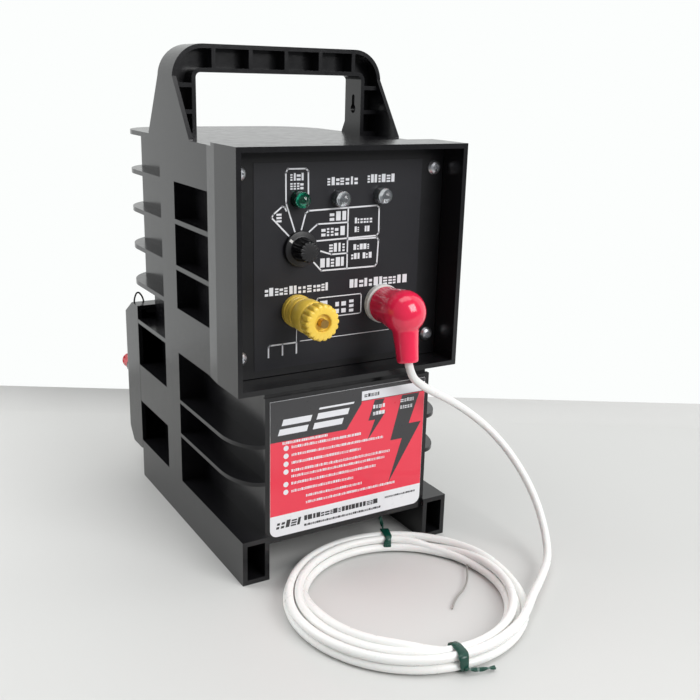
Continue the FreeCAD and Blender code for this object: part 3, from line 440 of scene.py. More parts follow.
class Finishes(Enum):
    """Every finish on the energizer."""

    # Injection-moulded ABS, polished tool: deep charcoal, mirrors the room at a glancing angle.
    CASE = Finish("charcoal ABS moulding", "#131315", "#18181a", 0.22, 0.03, 1.1, 0.002, ior=1.45)
    # The same ABS on the flat plates, from a spark-eroded tool: a fine even grain.
    PANEL = Finish("black ABS panel, fine grain", "#121214", "#161618", 0.36, 0.04, 0.6, 0.006, ior=1.42)
    # Screen-printed polyester film, matt, with a soft sheen.
    FILM = Finish("matt charcoal polyester film", "#1c1c20", "#212126", 0.46, 0.05, 0.5, 0.004, ior=1.42)
    # Screen-printing ink, white: thin, dry, slightly uneven.
    INK_WHITE = Finish("white screen ink", "#eeeff2", "#e4e5ea", 0.6, 0.05, 0.4, 0.004)
    INK_BLACK = Finish("black gravure ink under laminate", "#1f1f22", "#27262a", 0.3, 0.05, 0.4, 0.003, coat=0.6)
    INK_RED = Finish("red gravure ink under laminate", "#f02f49", "#ea2a45", 0.32, 0.05, 0.4, 0.003, coat=0.6)
    # Laminated label paper: white, smooth, clear gloss film.
    LABEL = Finish("laminated white label", "#f0f0f2", "#e6e6ea", 0.3, 0.05, 0.4, 0.003, coat=0.6)
    # Pan-head screws: bright zinc plate, pressed heads.
    ZINC = Finish("bright zinc plate", "#d9dbde", "#c2c4c9", 0.38, 0.08, 0.3, 0.01, metallic=1.0)
    STEEL = Finish("bright steel", "#bfc1c4", "#a4a6aa", 0.28, 0.08, 0.3, 0.008, metallic=1.0)
    BRASS = Finish("turned brass", "#c9a464", "#a98245", 0.3, 0.1, 0.25, 0.008, metallic=1.0)
    # Dyed polycarbonate lens over the check lamp.
    GREEN_LENS = ClearMoulding("green polycarbonate lens", "#2fae8c", "#27a080", 0.08, 0.03, 0.9, 0.004, ior=1.58)
    CLEAR_LENS = ClearMoulding("clear polycarbonate lens", "#e8ecef", "#dfe4e8", 0.06, 0.03, 0.9, 0.004, ior=1.58)
    # Knob of filled nylon: dull black, coarse under the nail.
    KNOB = Finish("black filled nylon", "#141416", "#1b1b1d", 0.42, 0.08, 0.5, 0.02)
    WHITE_ABS = Finish("white ABS moulding", "#ecebe8", "#e2e1de", 0.3, 0.06, 0.6, 0.01)
    # Binding post of yellow ABS: warm, semi-gloss.
    YELLOW = Finish("yellow ABS moulding", "#ffda5a", "#fbd250", 0.33, 0.06, 0.6, 0.01, coat=0.15)
    # Boot of plasticised PVC: wet-looking red.
    RED_BOOT = SoftVinyl("red plasticised PVC", "#fa2f58", "#f22850", 0.16, 0.04, 0.9, 0.004, coat=0.5)
    RED_ABS = Finish("red ABS moulding", "#c51226", "#b80f22", 0.3, 0.06, 0.6, 0.01)
    # Lead insulation: smooth white silicone-PVC with a soft shine.
    LEAD = SoftVinyl("white PVC insulation", "#f4f4f2", "#eeeeeb", 0.3, 0.05, 0.8, 0.003)
    WIRE = Finish("tinned copper strand", "#c6c4c0", "#a9a7a3", 0.35, 0.1, 0.2, 0.02, metallic=1.0)
    # Twist tie: vinyl strip over a wire core, deep green.
    TIE = SoftVinyl("green vinyl twist tie", "#0b4a3c", "#083c31", 0.3, 0.08, 0.7, 0.02)
    BLACK_WIRE = Finish("black nylon-coated wire", "#1a1a1b", "#242425", 0.4, 0.06, 0.3, 0.01)
    FOAM = Finish("black EPDM foam", "#161616", "#202020", 0.95, 0.04, 0.6, 0.12)
    BOARD = Finish("green glass-epoxy laminate", "#1f5a33", "#1a4c2b", 0.35, 0.06, 0.5, 0.01, coat=0.3)
    FERRITE = Finish("grey ferrite", "#3a3b3e", "#2e2f31", 0.6, 0.08, 0.4, 0.05)
    WINDING = Finish("enamelled copper winding", "#8a3f1f", "#6f3016", 0.35, 0.1, 0.3, 0.05, metallic=1.0)
    SLEEVE = Finish("blue capacitor sleeve", "#1b2f6b", "#172858", 0.3, 0.06, 0.6, 0.01)
    RESIN = Finish("black moulded epoxy", "#17171a", "#202023", 0.5, 0.08, 0.4, 0.03)
    ALUMINIUM = Finish("plain aluminium extrusion", "#b9babd", "#a6a7aa", 0.36, 0.08, 0.3, 0.02, metallic=1.0)
    TRAY = Finish("grey polypropylene tray", "#333437", "#2b2c2f", 0.5, 0.06, 0.6, 0.02)
    CELL = Finish("printed steel cell jacket", "#2d4a6d", "#26405f", 0.3, 0.08, 0.5, 0.01, coat=0.3)


@cache
def material_of(finish: Finishes) -> Material:
    """Make a finish's material once and return it."""
    return finish.value.build()


# ---- the case ----
@dataclass
class Case:
    """Mouldings of the case with their rounded edges."""
    edge: float = 0.55
    small_edge: float = 0.35

    def build(self) -> None:
        """Copy each moulding with rounded edges and give it the case's gloss."""
        for node, name, body in (("front_shell", "front_moulding", "case"), ("rear_shell", "rear_moulding", "case"),
                                 ("rear_cover", "battery_cover_moulding", "battery_cover")):
            finish_piece(softened(node, name, self.edge), body, Finishes.CASE)
        plate = softened("control_panel", "panel_plate", self.small_edge)
        finish_piece(plate, "case", Finishes.PANEL)


# ---- printed panel ----
@dataclass
class PanelLegend:
    """White print on the control panel: frames, leader lines, an earth sign and plain blocks for words."""
    face_y: float = 19.7
    proud: float = 0.05
    line: float = 0.9
    fine_line: float = 0.45

    def lines(self) -> list[Array]:
        """Frames round the settings and the lines that lead to them from the knob."""
        check = [(-29.2, 203.5), (-36.0, 223.0), (-36.2, 240.0), (-35.0, 242.0), (-23.5, 241.9), (-22.0, 240.4),
                 (-21.8, 227.5)]
        off = [(-31.8, 202.0), (-45.0, 215.2), (-43.8, 217.0), (-38.4, 221.2), (-36.8, 220.8), (-35.9, 218.8)]
        upper = [(-26.0, 207.5), (-23.4, 216.6), (-21.6, 218.0), (24.6, 219.0), (26.2, 217.6), (26.4, 202.6),
                 (25.0, 200.9), (-15.6, 200.2)]
        low = [(25.2, 199.6), (26.4, 198.2), (25.8, 183.8), (24.4, 182.2), (-12.6, 182.4), (-17.6, 187.6)]
        shapes: list[Array] = []
        for route in (check, off, upper, low, [(-20.8, 206.0), (-15.6, 210.0), (4.8, 210.0)],
                      [(-13.0, 194.0), (-6.0, 191.6), (4.8, 191.6)], [(4.8, 218.4), (4.8, 182.6)],
                      [(4.8, 199.7), (25.2, 199.6)]):
            shapes += stroke(route, self.line)
        shapes += stroke([(-46.9, 133.6), (-46.9, 139.6), (-46.0, 140.5), (-28.6, 140.5), (-28.6, 134.0)], self.line)
        shapes += stroke([(-37.8, 140.5), (-37.8, 134.0)], self.line)
        shapes += stroke([(-28.6, 140.5), (-28.6, 149.0)], self.fine_line)
        shapes += stroke([(-26.0, 141.0), (36.0, 141.0)], self.fine_line)
        return shapes

    def words(self) -> list[Array]:
        """Plain blocks where the panel's words stand."""
        rows = [(-33.4, -25.0, 235.4, 239.6), (-33.4, -25.0, 230.4, 234.6), (-42.0, -37.4, 212.4, 218.0),
                (-7.6, 3.4, 211.4, 216.8), (-13.0, 3.4, 202.6, 208.0), (-7.6, 3.4, 193.0, 198.2),
                (-13.4, 3.4, 184.2, 189.6), (9.5, 21.5, 209.0, 212.4), (9.5, 14.0, 203.8, 207.2),
                (16.5, 21.0, 203.8, 207.2), (9.0, 21.5, 193.2, 196.6), (7.6, 13.4, 187.6, 191.2),
                (15.6, 22.6, 187.6, 191.2), (-9.5, 11.0, 232.0, 236.6), (17.5, 38.0, 232.6, 237.4),
                (-49.2, -8.0, 170.2, 175.0), (7.0, 48.4, 170.2, 175.4), (-13.0, -4.4, 155.4, 164.0),
                (-2.6, 5.0, 155.4, 164.0), (7.0, 13.2, 155.4, 164.0)]
        return [shape for number, row in enumerate(rows) for shape in word_row(*row, 11 + number, 0.5)]

    def build(self) -> None:
        """Print the legend as one thin piece on the film."""
        frame_box = stroke([(-15.2, 154.6), (-15.2, 165.2), (-14.4, 166.0), (14.6, 166.0), (15.4, 165.2),
                            (15.4, 154.6), (14.6, 153.8), (-14.4, 153.8), (-15.2, 154.6)], self.fine_line * 1.3)
        shapes = self.lines() + self.words() + frame_box
        legend = plates("panel_legend", shapes, self.face_y - self.proud, self.proud * 1.6)
        finish_piece(legend, "case", Finishes.INK_WHITE)


@dataclass
class FrontLabel:
    """Print on the front label: black and red fields, plain bars for words and two lightning bolts."""
    face_y: float = 2.7
    proud: float = 0.03
    depth: float = 1.5
    half: float = 53.9

    def layer(self, name: str, outlines: Sequence[Array], level: int, finish: Finishes) -> None:
        """Print one piece of the label, so many layers of ink above its paper."""
        piece = plates(name, outlines, self.face_y - level * self.proud, self.proud * self.depth)
        finish_piece(piece, "case", finish)

    def fields(self) -> None:
        """Black heading with a slanted end, red body below it."""
        black = [(-self.half, 111.9), (-self.half, 86.6), (-2.6, 86.6), (7.6, 101.6), (7.6, 103.0),
                 (self.half, 103.0), (self.half, 111.9)]
        red = [(-self.half, 86.6), (-self.half, 39.4), (self.half, 39.4), (self.half, 103.0), (7.6, 103.0),
               (7.6, 101.6), (-2.6, 86.6)]
        self.layer("label_heading", [np.array(black)], 1, Finishes.INK_BLACK)
        self.layer("label_body", [np.array(red)], 1, Finishes.INK_RED)

    def bolts(self) -> None:
        """Two plain lightning bolts, each a zigzag of six corners."""
        unit = np.array([(0.30, 1.0), (0.78, 1.0), (0.52, 0.66), (0.86, 0.66), (0.0, 0.0), (0.34, 0.5), (0.02, 0.5)])
        large = unit * [27.0, 58.0] + [29.0, 44.6]
        small = unit * [15.0, 26.0] + [12.5, 76.6]
        self.layer("label_bolts", [large, small], 2, Finishes.INK_BLACK)

    def white_print(self) -> None:
        """White strip, bullets and rows of blocks on the red body and in the heading."""
        shapes = [bar(7.6, self.half, 103.4, 109.4)]
        bullets = [82.0, 77.0, 71.9, 66.9, 58.8, 53.8]
        angle = np.linspace(0, 2 * math.pi, 14, endpoint=False)
        shapes += [np.column_stack([-43.6 + 1.7 * np.cos(angle), z + 1.7 * np.sin(angle)]) for z in bullets]
        rows = [(-46.0, -15.0, 84.6, 86.2), (-40.0, 8.0, 81.3, 83.0), (-40.0, 24.0, 76.4, 78.0),
                (-40.0, 8.0, 71.3, 73.0), (-40.0, 30.0, 66.2, 67.9), (-40.0, 26.0, 62.6, 64.2),
                (-40.0, 20.0, 58.0, 59.7), (-40.0, 3.0, 53.0, 54.7), (-30.0, 10.0, 48.0, 49.6),
                (-30.0, 34.0, 43.6, 45.2)]
        for number, row in enumerate(rows):
            shapes += word_row(*row, 70 + number, 0.55)
        shapes += word_row(16.0, 25.0, 97.0, 99.4, 91, 0.8) + word_row(16.0, 25.0, 92.6, 95.0, 92, 0.8)
        shapes += word_row(36.0, 46.0, 98.0, 100.4, 93, 0.8) + word_row(36.0, 45.0, 93.6, 96.0, 94, 0.8)
        self.layer("label_white_print", shapes, 3, Finishes.INK_WHITE)

    def heading(self) -> None:
        """Plain bars in the heading, wide ones and a thin one, with a lean."""
        shapes = [bar(-49.0, -30.0, 90.6, 94.4, 1.2), bar(-46.6, -27.6, 96.4, 100.2, 1.2),
                  bar(-26.0, -6.0, 90.8, 94.6, 1.2), bar(-23.6, -2.0, 96.6, 100.4, 1.2),
                  bar(-22.0, 2.0, 102.6, 103.8, 0.5)]
        self.layer("label_heading_bars", shapes, 2, Finishes.INK_WHITE)

    def dark_print(self) -> None:
        """Dark bars on the white strips."""
        shapes = word_row(9.4, 20.0, 105.4, 107.6, 101, 0.8)
        shapes += word_row(-50.0, -34.0, 30.6, 35.4, 102, 0.6, 1.0) + word_row(-31.0, 22.0, 32.4, 35.6, 103, 0.8)
        shapes += word_row(-31.0, 24.0, 28.6, 30.0, 104, 0.9) + word_row(27.0, 50.0, 34.4, 35.6, 105, 0.9)
        self.layer("label_dark_print", shapes, 4, Finishes.INK_BLACK)

    def build(self) -> None:
        """Print the label in layers from its fields up."""
        self.fields()
        self.bolts()
        self.white_print()
        self.heading()
        self.dark_print()


# ---- knobs and terminals ----
@dataclass
class EarthPost:
    """Yellow binding post: a ringed collar and a screw knob with a scalloped rim."""
    centre: Pair = (-28.9, 160.0)
    bore: float = 2.6
    scallops: int = 18
    scallop_depth: float = 0.95

    def collar(self) -> None:
        """Fixed collar with two shallow ring grooves."""
        profile = [(self.bore, 19.6), (self.bore, 9.9), (8.9, 9.9), (9.25, 10.05), (9.4, 10.4), (9.4, 13.2),
                   (9.05, 13.4), (9.05, 13.8), (9.4, 14.0), (9.4, 16.2), (9.7, 16.5), (9.7, 19.4), (9.5, 19.6)]
        collar = lathe("earth_collar_moulding", profile, self.centre, hollow=True)
        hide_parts("earth_collar")
        finish_piece(collar, "case", Finishes.YELLOW)

    def knob(self) -> None:
        """Screw knob: the rim's radius is the profile's, less the depth times (1 - |cos(n t / 2)|) ** 1.3."""
        def scallop(t: Array, radius: Array, y: Array) -> Array:
            """Rounded lobes on the front rim only."""
            rim = (y < -4.6) & (radius > 8.6)
            return np.where(rim, -self.scallop_depth * (1 - np.abs(np.cos(t * self.scallops / 2))) ** 1.3, 0.0)
        profile = [(self.bore, 7.7), (self.bore, -10.8), (4.7, -10.9), (5.0, -11.2), (5.1, -12.9), (5.5, -13.3),
                   (9.2, -13.4), (10.0, -13.1), (10.6, -12.4), (10.7, -11.4), (10.7, -6.4), (10.4, -5.4), (9.8, -4.8),
                   (9.2, -4.4), (9.1, -3.0), (9.7, -2.6), (10.0, -2.0), (10.0, 6.6), (9.85, 7.4), (9.5, 7.7)]
        knob = lathe("earth_knob_moulding", profile, self.centre, 216, scallop, hollow=True)
        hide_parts("earth_knob")
        finish_piece(knob, "earth_screw_knob", Finishes.YELLOW)

    def build(self) -> None:
        """Build the collar and the knob."""
        self.collar()
        self.knob()


@dataclass
class Selector:
    """Black fluted selector knob on a round skirt."""
    centre: Pair = (-27.0, 196.5)
    flutes: int = 14
    flute_depth: float = 0.8
    flute_end: float = 15.8

    def build(self) -> None:
        """The grip's radius is the profile's, less rounded flutes that end at the skirt."""
        def flute(t: Array, radius: Array, y: Array) -> Array:
            """Flutes along the grip that fade out at the skirt."""
            grip = np.clip((self.flute_end - y) / 1.2, 0, 1) * (radius > 4.8)
            return -self.flute_depth * grip * np.maximum(np.cos(t * self.flutes), 0) ** 1.5
        profile = [(0.02, 7.25), (4.9, 7.22), (5.7, 7.4), (6.2, 8.1), (6.35, 9.4), (6.6, 14.4), (6.75, 16.0),
                   (7.2, 16.7), (7.9, 16.95), (9.8, 16.95), (10.3, 17.2), (10.5, 17.8), (10.5, 19.0), (10.3, 19.2),
                   (6.0, 19.2), (6.0, 16.2), (0.02, 16.2)]
        knob = lathe("selector_grip", profile, self.centre, 168, flute)
        tidy_normals(knob)
        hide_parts("selector_knob")
        finish_piece(knob, "selector", Finishes.KNOB)


@dataclass
class OutputPlug:
    """Red elbow boot: flared barrel, ball and tapered tail melted into one skin."""
    centre: Pair = (29.8, 158.8)
    ball_y: float = -6.2
    ball_radius: float = 13.3
    tail_end: Pair = (-12.6, 128.7)
    voxel: float = 0.55

    def build(self) -> None:
        """Join three closed surfaces, remesh them as one and smooth the creases where they meet."""
        t = np.linspace(0, math.pi, 25)
        barrel = [(0.05, -6.2), (13.0, -6.2), (12.7, -1.0), (12.0, 4.0), (11.4, 9.0), (11.2, 12.6), (11.4, 13.0),
                  (11.4, 14.9), (11.1, 15.3), (9.0, 15.3), (9.0, 8.0), (0.05, 8.0)]
        ball = np.column_stack([self.ball_radius * np.sin(t) + 0.02, self.ball_y - self.ball_radius * np.cos(t)])
        pieces = [lathe("boot_barrel", barrel, self.centre, 72), lathe("boot_ball", ball.tolist(), self.centre, 72)]
        tail_profile = [(0.05, 0.0), (8.6, 0.0), (8.2, 8.0), (7.6, 15.0), (7.0, 22.0), (6.5, 29.6), (6.1, 30.4),
                        (2.6, 30.4), (2.6, 26.0), (0.05, 26.0)]
        tail = lathe("boot_tail", tail_profile, (0.0, 0.0), 72)
        coords = np.empty(len(tail.data.vertices) * 3)
        tail.data.vertices.foreach_get("co", coords)
        coords = coords.reshape(-1, 3) - [0.0, HOOD_RIM_Y, 0.0]
        fall = np.array([self.tail_end[0] - self.ball_y, self.tail_end[1] - self.centre[1]])
        fall /= np.linalg.norm(fall)
        x, y, z = coords.T
        turned = np.column_stack([x + self.centre[0] * MM, y * fall[0] + z * fall[1] + self.ball_y * MM + HOOD_RIM_Y,
                                  y * fall[1] - z * fall[0] + self.centre[1] * MM])
        tail.data.vertices.foreach_set("co", turned.ravel())
        pieces.append(tail)
        for piece in pieces:
            tidy_normals(piece)
        boot = self.joined(pieces)
        remesh = boot.modifiers.new("one skin", "REMESH")
        remesh.mode = "VOXEL"
        remesh.voxel_size = self.voxel * MM
        remesh.use_smooth_shade = True
        smooth = boot.modifiers.new("melted creases", "CORRECTIVE_SMOOTH")
        smooth.iterations = 6
        smooth.use_only_smooth = True
        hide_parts("output_boot")
        finish_piece(boot, "output_lead", Finishes.RED_BOOT)

    def joined(self, parts: list[Object]) -> Object:
        """Join closed meshes into one object and drop the originals."""
        verts: list[list[float]] = []
        faces: list[list[int]] = []
        for part in parts:
            start = len(verts)
            verts += [list(v.co) for v in part.data.vertices]
            faces += [[start + i for i in p.vertices] for p in part.data.polygons]
            bpy.data.objects.remove(part)
        return new_object("boot_skin", np.array(verts), faces, 80.0)


# ---- lead ----
@dataclass
class Lead:
    """White lead: free stretch, nearly five loose turns, a stripped end and two ties.

    The spline's points: the free stretch is listed, in metres; the turns are on circles round the
    coil's centre, with each turn's radius and height blended into the next one's at its own angle.
    """
    diameter: float = 5.0
    wire_diameter: float = 1.1
    centre: Pair = (3.0, -59.5)
    per_turn: int = 20
    loose_middle: float = 205.0
    loose_half: float = 60.0
    route: tuple[Point, ...] = (
        (0.0298, -0.0115, 0.1340), (0.0306, -0.0136, 0.1220), (0.0395, -0.0132, 0.1136), (0.0520, -0.0110, 0.1062),
        (0.0675, -0.0072, 0.0974), (0.0840, -0.0064, 0.0862), (0.0990, -0.0135, 0.0724), (0.1075, -0.0285, 0.0560),
        (0.11249, -0.0430, 0.0365), (0.11249, -0.0545, 0.0185), (0.1035, -0.0695, 0.0076), (0.0850, -0.0840, 0.0062),
        (0.0660, -0.0980, 0.0078), (0.0542, -0.1076, 0.0084), (0.0400, -0.1178, 0.0084))

    def turns(self) -> Array:
        """Points of the turns: radius and height of each, with what they gain where the coil is loose.

        The looseness is a cosine about the sector between the two ties, held between nought and one.
        """
        outer_top, low_outer, low_inner = (67.6, 8.0, 1.8, 0.2), (69.4, 3.3, 0.0, -0.1), (64.4, 3.3, 0.0, 0.0)
        mid_top, inner = (62.4, 7.9, 1.1, 1.1), (60.0, 3.4, -1.5, 7.2)
        first, last = -78.0, -1783.0
        angle = np.linspace(first, last, int((first - last) / 360 * self.per_turn) + 1)
        keys = [(first, outer_top), (-352.0, outer_top), (-374.0, low_outer), (-704.0, low_outer),
                (-726.0, low_inner), (-1046.0, low_inner), (-1068.0, mid_top), (-1384.0, mid_top),
                (-1406.0, inner), (-1765.0, inner), (last, (61.6, 3.2, 0.0, 0.0))]
        stops = -np.array([key[0] for key in keys])
        radius, height, wider, higher = (np.interp(-angle, stops, [key[1][i] for key in keys]) for i in range(4))
        from_middle = angle % 360 - self.loose_middle
        near = np.abs(from_middle) < self.loose_half
        loose = np.clip(1.6 * np.cos(np.radians(from_middle * 1.55)), 0, 1) * near
        rad = np.radians(angle)
        reach = radius + loose * wider
        return np.column_stack([self.centre[0] + reach * np.cos(rad), self.centre[1] + reach * np.sin(rad),
                                height + loose * higher]) * MM

    def curve(self, name: str, points: Array, diameter: float) -> Object:
        """Round cord along a NURBS spline with the points as its control points.

        The bevel is 1 deep and each point carries the cord's radius, so that bounds read from the points
        are right.

        Args:
            name: the object's name.
            points: rows in metres, with y from the hood's rim.
            diameter: the cord's diameter in millimetres.

        Returns:
            The curve object.
        """
        data = bpy.data.curves.new(name, "CURVE")
        data.dimensions = "3D"
        data.bevel_depth = 1.0
        data.bevel_resolution = 5
        data.resolution_u = 6
        data.use_fill_caps = True
        spline = data.splines.new("NURBS")
        spline.points.add(len(points) - 1)
        shifted = points + [0.0, HOOD_RIM_Y, 0.0]
        spline.points.foreach_set("co", np.column_stack([shifted, np.ones(len(points))]).ravel())
        spline.points.foreach_set("radius", np.full(len(points), diameter / 2 * MM))
        spline.order_u = 3
        spline.use_endpoint_u = True
        return add_object(name, data)

    def length(self, obj: Object) -> float:
        """Length of the spline, measured on the curve's own mesh without its bevel."""
        depth = obj.data.bevel_depth
        obj.data.bevel_depth = 0.0
        mesh = bpy.data.meshes.new_from_object(obj)
        obj.data.bevel_depth = depth
        coords = np.empty(len(mesh.vertices) * 3)
        mesh.vertices.foreach_get("co", coords)
        bpy.data.meshes.remove(mesh)
        return float(np.linalg.norm(np.diff(coords.reshape(-1, 3), axis=0), axis=1).sum())

    def build(self) -> None:
        """Lay the lead, its stripped wire and its ties."""
        points = np.vstack([np.array(self.route), self.turns()])
        lead = self.curve("output_lead_cord", points, self.diameter)
        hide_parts("cord_lead", "cord_coil")
        finish_piece(lead, "output_lead", Finishes.LEAD)
        length = self.length(lead)
        rear_tail = ((73.0, 0.0, 5.0), (75.6, 1.0, 12.0), (75.2, 3.4, 20.0))
        front_tail = ((72.8, 0.0, 3.6), (74.4, 6.0, 2.2), (74.2, 17.0, 1.6))
        ties = [self.tie("twist_tie_rear", "tie_rear", 67.5, rear_tail),
                self.tie("twist_tie_front", "tie_front", 261.0, front_tail)]
        wire = self.stripped(points[-1])
        LOG.info("lead length %.3f m", length)

    def stripped(self, start: Array) -> Object:
        """Kinked bare strand that sticks out of the lead's end."""
        route = np.array([start, start * [0.93, 1.12, 0.8], (0.0500, -0.0575, 0.0022), (0.0410, -0.0660, 0.0016),
                          (0.0300, -0.0715, 0.0010), (0.0220, -0.0795, 0.0010)])
        wire = self.curve("stripped_strand", route, self.wire_diameter)
        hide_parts("cord_conductor")
        return finish_piece(wire, "output_lead", Finishes.WIRE)

    def tie(self, name: str, node: str, angle: float,
            tail: tuple[Point, ...]) -> Object:
        """Vinyl strip wound once round the strands, narrow where it is pulled in, with its ends twisted together.

        The strip's middle line is a rounded rectangle round the bundle; its width runs along the coil.

        Args:
            name: the object's name.
            node: the frame's node that it replaces.
            angle: place on the coil in degrees.
            tail: points of the twisted ends: outwards, along the coil and up, in millimetres.

        Returns:
            The tie.
        """
        t = np.linspace(0, 2 * math.pi, 48, endpoint=False)
        r_mid, z_mid, half_r, half_z = 64.9, 5.9, 7.9, 5.4
        power = 0.5
        radial = r_mid + half_r * np.sign(np.cos(t)) * np.abs(np.cos(t)) ** power
        height = z_mid + half_z * np.sign(np.sin(t)) * np.abs(np.sin(t)) ** power
        narrow = 0.62 + 0.38 * np.abs(np.sin(t + 0.7))
        rings = []
        for offset, inset in ((-2.8, 0.25), (-2.4, 0.0), (2.4, 0.0), (2.8, 0.25)):
            wobble = 0.45 * np.sin(3 * t + angle)
            scale = 1 - inset / 8
            rings.append(np.column_stack([r_mid + (radial - r_mid) * scale, offset * narrow + wobble,
                                          z_mid + (height - z_mid) * scale]))
        outer = np.stack(rings)
        inner = outer[::-1].copy()
        inner[:, :, 0] = r_mid + (inner[:, :, 0] - r_mid) * 0.93
        inner[:, :, 2] = z_mid + (inner[:, :, 2] - z_mid) * 0.9
        skin = np.concatenate([outer, inner])
        verts = skin.reshape(-1, 3)
        faces = grid_faces(len(skin), len(t), True).tolist()
        tail_verts, tail_faces = self.tails(len(verts), np.array(tail))
        verts = np.vstack([verts, tail_verts])
        faces += tail_faces
        cos, sin = math.cos(math.radians(angle)), math.sin(math.radians(angle))
        out, along, up = verts.T
        turned = np.column_stack([self.centre[0] + out * cos - along * sin,
                                  self.centre[1] + out * sin + along * cos, up])
        tie = new_object(name, place(turned), faces, 50.0)
        tidy_normals(tie)
        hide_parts(node)
        return finish_piece(tie, "output_lead", Finishes.TIE)

    def tails(self, start: int, path: Array) -> tuple[Array, list[list[int]]]:
        """Twisted tail: a flat section that turns not quite once along a quadratic curve.

        Args:
            start: number of the first vertex.
            path: the curve's start, its middle control point and its end, in millimetres.

        Returns:
            Vertices and faces of the closed tail.
        """
        along = np.linspace(0, 1, 25)[:, None]
        middle = (1 - along) ** 2 * path[0] + 2 * along * (1 - along) * path[1] + along ** 2 * path[2]
        heading = np.gradient(middle, axis=0)
        heading /= np.linalg.norm(heading, axis=1, keepdims=True)
        side = np.cross(heading, [1.0, 0.0, 0.0])
        side /= np.linalg.norm(side, axis=1, keepdims=True)
        other = np.cross(heading, side)
        twist = 1.6 * math.pi * along
        rings = []
        for wide, thin in ((-1.0, -0.5), (1.0, -0.5), (1.0, 0.5), (-1.0, 0.5)):
            rings.append(middle + side * (wide * np.cos(twist) - thin * np.sin(twist))
                         + other * (wide * np.sin(twist) + thin * np.cos(twist)))
        verts = np.stack(rings, axis=1).reshape(-1, 3)
        faces = (grid_faces(len(along), 4, False) + start).tolist()
        end = start + (len(along) - 1) * 4
        faces += [[start + i for i in range(4)], [end + i for i in range(4)][::-1]]
        return verts, faces


# ---- plain nodes ----
NODE_FINISHES: dict[Finishes, str] = {
    Finishes.LABEL: "front_label", Finishes.FILM: "panel_overlay",
    Finishes.ZINC: "panel_screws latch_cam_left latch_cam_right contact_springs contact_straps",
    Finishes.GREEN_LENS: "check_lamp_lens", Finishes.CLEAR_LENS: "light_sensor_window output_lamp_lens",
    Finishes.WHITE_ABS: "selector_pointer output_ring", Finishes.STEEL: "selector_shaft cover_hinge_pins",
    Finishes.BRASS: "selector_bush earth_stud earth_washer output_stud terminal_nuts plug_contact",
    Finishes.RESIN: "selector_switch board_posts thyristor", Finishes.FOAM: "cover_seal",
    Finishes.BLACK_WIRE: "cover_pull_loop", Finishes.RED_ABS: "latch_knob_left latch_knob_right",
    Finishes.TRAY: "battery_tray", Finishes.CELL: "battery_cells", Finishes.BOARD: "circuit_board",
    Finishes.FERRITE: "transformer_core", Finishes.WINDING: "transformer_winding",
    Finishes.SLEEVE: "storage_capacitor", Finishes.ALUMINIUM: "heat_sink",
}


def dress_nodes() -> None:
    """Give every node that keeps its shape the finish that lists its name."""
    for finish, nodes in NODE_FINISHES.items():
        for node in nodes.split():
            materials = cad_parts[node].data.materials
            materials.clear()
            materials.append(material_of(finish))
            LOG.info("node %s is %s", node, finish.value.name)


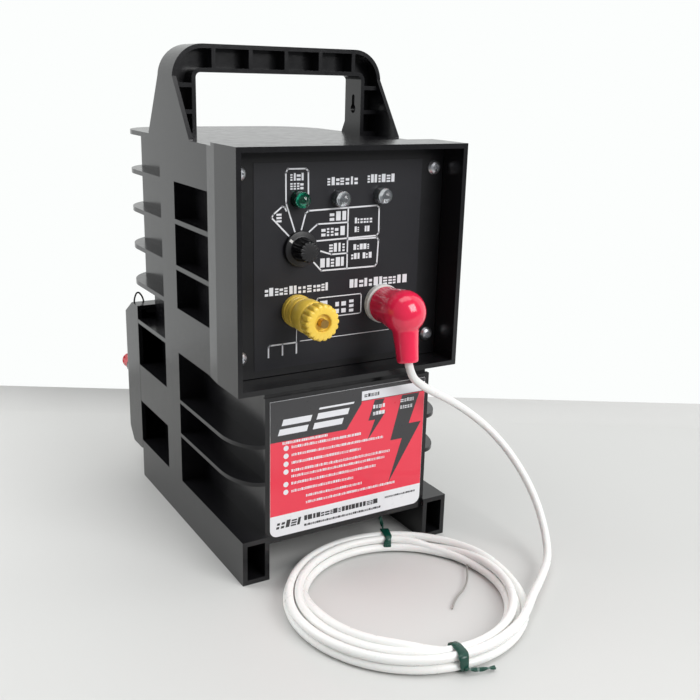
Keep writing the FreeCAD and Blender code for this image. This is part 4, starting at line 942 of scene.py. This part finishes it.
# ---- studio ----
@dataclass
class Studio:
    """Pale floor and wall, soft lights and the camera."""
    lens: float = 47.73
    azimuth: float = -30.858
    elevation: float = 16.506
    roll: float = 1.504
    eye: Point = (-272.19, -450.08, 293.17)
    wall_distance: float = 0.80
    wall_strength: float = 1.0
    floor_start: float = 0.26
    bend_radius: float = 0.03

    def camera(self) -> None:
        """Camera looking along its azimuth, down by its elevation, with a small roll."""
        a, e, r = (math.radians(v) for v in (self.azimuth, self.elevation, self.roll))
        ahead = Vector((-math.sin(a) * math.cos(e), math.cos(a) * math.cos(e), -math.sin(e)))
        right = ahead.cross(Vector((0, 0, 1))).normalized()
        up = right.cross(ahead)
        turned_right = math.cos(r) * right + math.sin(r) * up
        turned_up = -math.sin(r) * right + math.cos(r) * up
        data = bpy.data.cameras.new("studio camera")
        data.lens = self.lens
        data.sensor_width = 36.0
        data.clip_start, data.clip_end = 0.01, 50.0
        obj = add_object("studio camera", data)
        matrix = Matrix((turned_right, turned_up, -ahead)).transposed().to_4x4()
        matrix.translation = Vector(place([self.eye])[0])
        obj.matrix_world = matrix
        bpy.context.scene.camera = obj

    def stage_material(self, name: str, colour: str) -> Material:
        """Matt painted board that is seen only from its front."""
        material = empty_material(name)
        tree = material.node_tree
        where = add_node(tree, "TexCoord").outputs["Object"]
        noise = add_node(tree, "TexNoise", {"Scale": 3.0, "Detail": 3.0}, {"Vector": where})
        shade = tuple(STAGE_SHADE * v for v in linear(colour)[:3]) + (1.0,)
        tint = mixed(tree, noise.outputs[0], linear(colour), shade)
        shader = add_node(tree, "BsdfPrincipled", {"Roughness": 0.55}, {"Base Color": tint.outputs[COLOUR_OUT]})
        return one_sided(material, shader)

    def glow_material(self) -> Material:
        """Evenly lit translucent wall, the large soft source behind the case."""
        material = empty_material("lit wall")
        values = {"Color": linear("#fcfefd"), "Strength": self.wall_strength}
        return one_sided(material, add_node(material.node_tree, "Emission", values))

    def backdrop(self) -> None:
        """Floor that bends up at the foot of a lit wall, square to the camera's azimuth; all in metres."""
        a = math.radians(self.azimuth)
        ahead = np.array([-math.sin(a), math.cos(a), 0.0])
        side = np.array([math.cos(a), math.sin(a), 0.0])
        eye = place([self.eye])[0] * [1, 1, 0]
        bend = np.linspace(0, math.radians(60), 13)
        run = np.concatenate([[self.floor_start], self.wall_distance + self.bend_radius * (np.sin(bend) - 1.0)])
        rise = np.concatenate([[0.0], self.bend_radius * (1 - np.cos(bend))])
        across = np.linspace(-4, 4, 9)
        grid = eye + run[:, None, None] * ahead + across[None, :, None] * side + rise[:, None, None] * [0, 0, 1]
        rows, cols = grid.shape[:2]
        faces = [[i * cols + j, i * cols + j + 1, (i + 1) * cols + j + 1, (i + 1) * cols + j]
                 for i in range(rows - 1) for j in range(cols - 1)]
        sweep = new_object("studio_sweep", grid.reshape(-1, 3), faces, 60.0)
        sweep.data.materials.append(self.stage_material("pale painted board", "#d2d2d0"))
        far = eye + self.wall_distance * ahead
        corners = ((-3.0, 0.0), (3.0, 0.0), (3.0, 3.0), (-3.0, 3.0))
        wall_verts = np.array([far + x * side + [0, 0, z] for x, z in corners])
        wall = new_object("studio_wall", wall_verts, [[0, 1, 2, 3]], 60.0)
        wall.data.materials.append(self.glow_material())

    def area_light(self, name: str, spot: Point, aim: Point, size: float, watts: float) -> None:
        """Square soft light at a spot in metres, turned towards a point."""
        data = bpy.data.lights.new(name, "AREA")
        data.energy = watts
        data.size = size
        obj = add_object(name, data)
        obj.location = spot
        obj.rotation_euler = (Vector(aim) - Vector(spot)).to_track_quat("-Z", "Y").to_euler()

    def lights(self) -> None:
        """Broad soft lights overhead, behind on the left and in front."""
        middle = (0.0, 0.0, 0.15)
        self.area_light("overhead", (0.0, 0.1, 1.6), middle, 1.4, 13.0)
        self.area_light("left window", (-0.62, 0.48, 0.50), middle, 0.8, 6.0)
        self.area_light("front", (0.5, -1.5, 1.0), middle, 1.0, 22.0)
        world = bpy.data.worlds.new("room")
        world.use_nodes = True
        background = world.node_tree.nodes["Background"]
        background.inputs["Color"].default_value = linear("#f4f6fa")
        background.inputs["Strength"].default_value = 0.25
        bpy.context.scene.world = world

    def build(self) -> None:
        """Set the camera, the stage and the lights."""
        self.camera()
        self.backdrop()
        self.lights()
        bpy.context.scene.view_settings.view_transform = "Standard"


def main() -> None:
    """Build the energizer piece by piece, then the studio."""
    logging.basicConfig(level=logging.INFO, format="%(name)s: %(message)s")
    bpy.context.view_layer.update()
    dress_nodes()
    for part in (Case(), PanelLegend(), FrontLabel(), EarthPost(), Selector(), OutputPlug(), Lead(), Studio()):
        LOG.info("building %s", type(part).__name__)
        part.build()


if __name__ == "__main__":
    main()
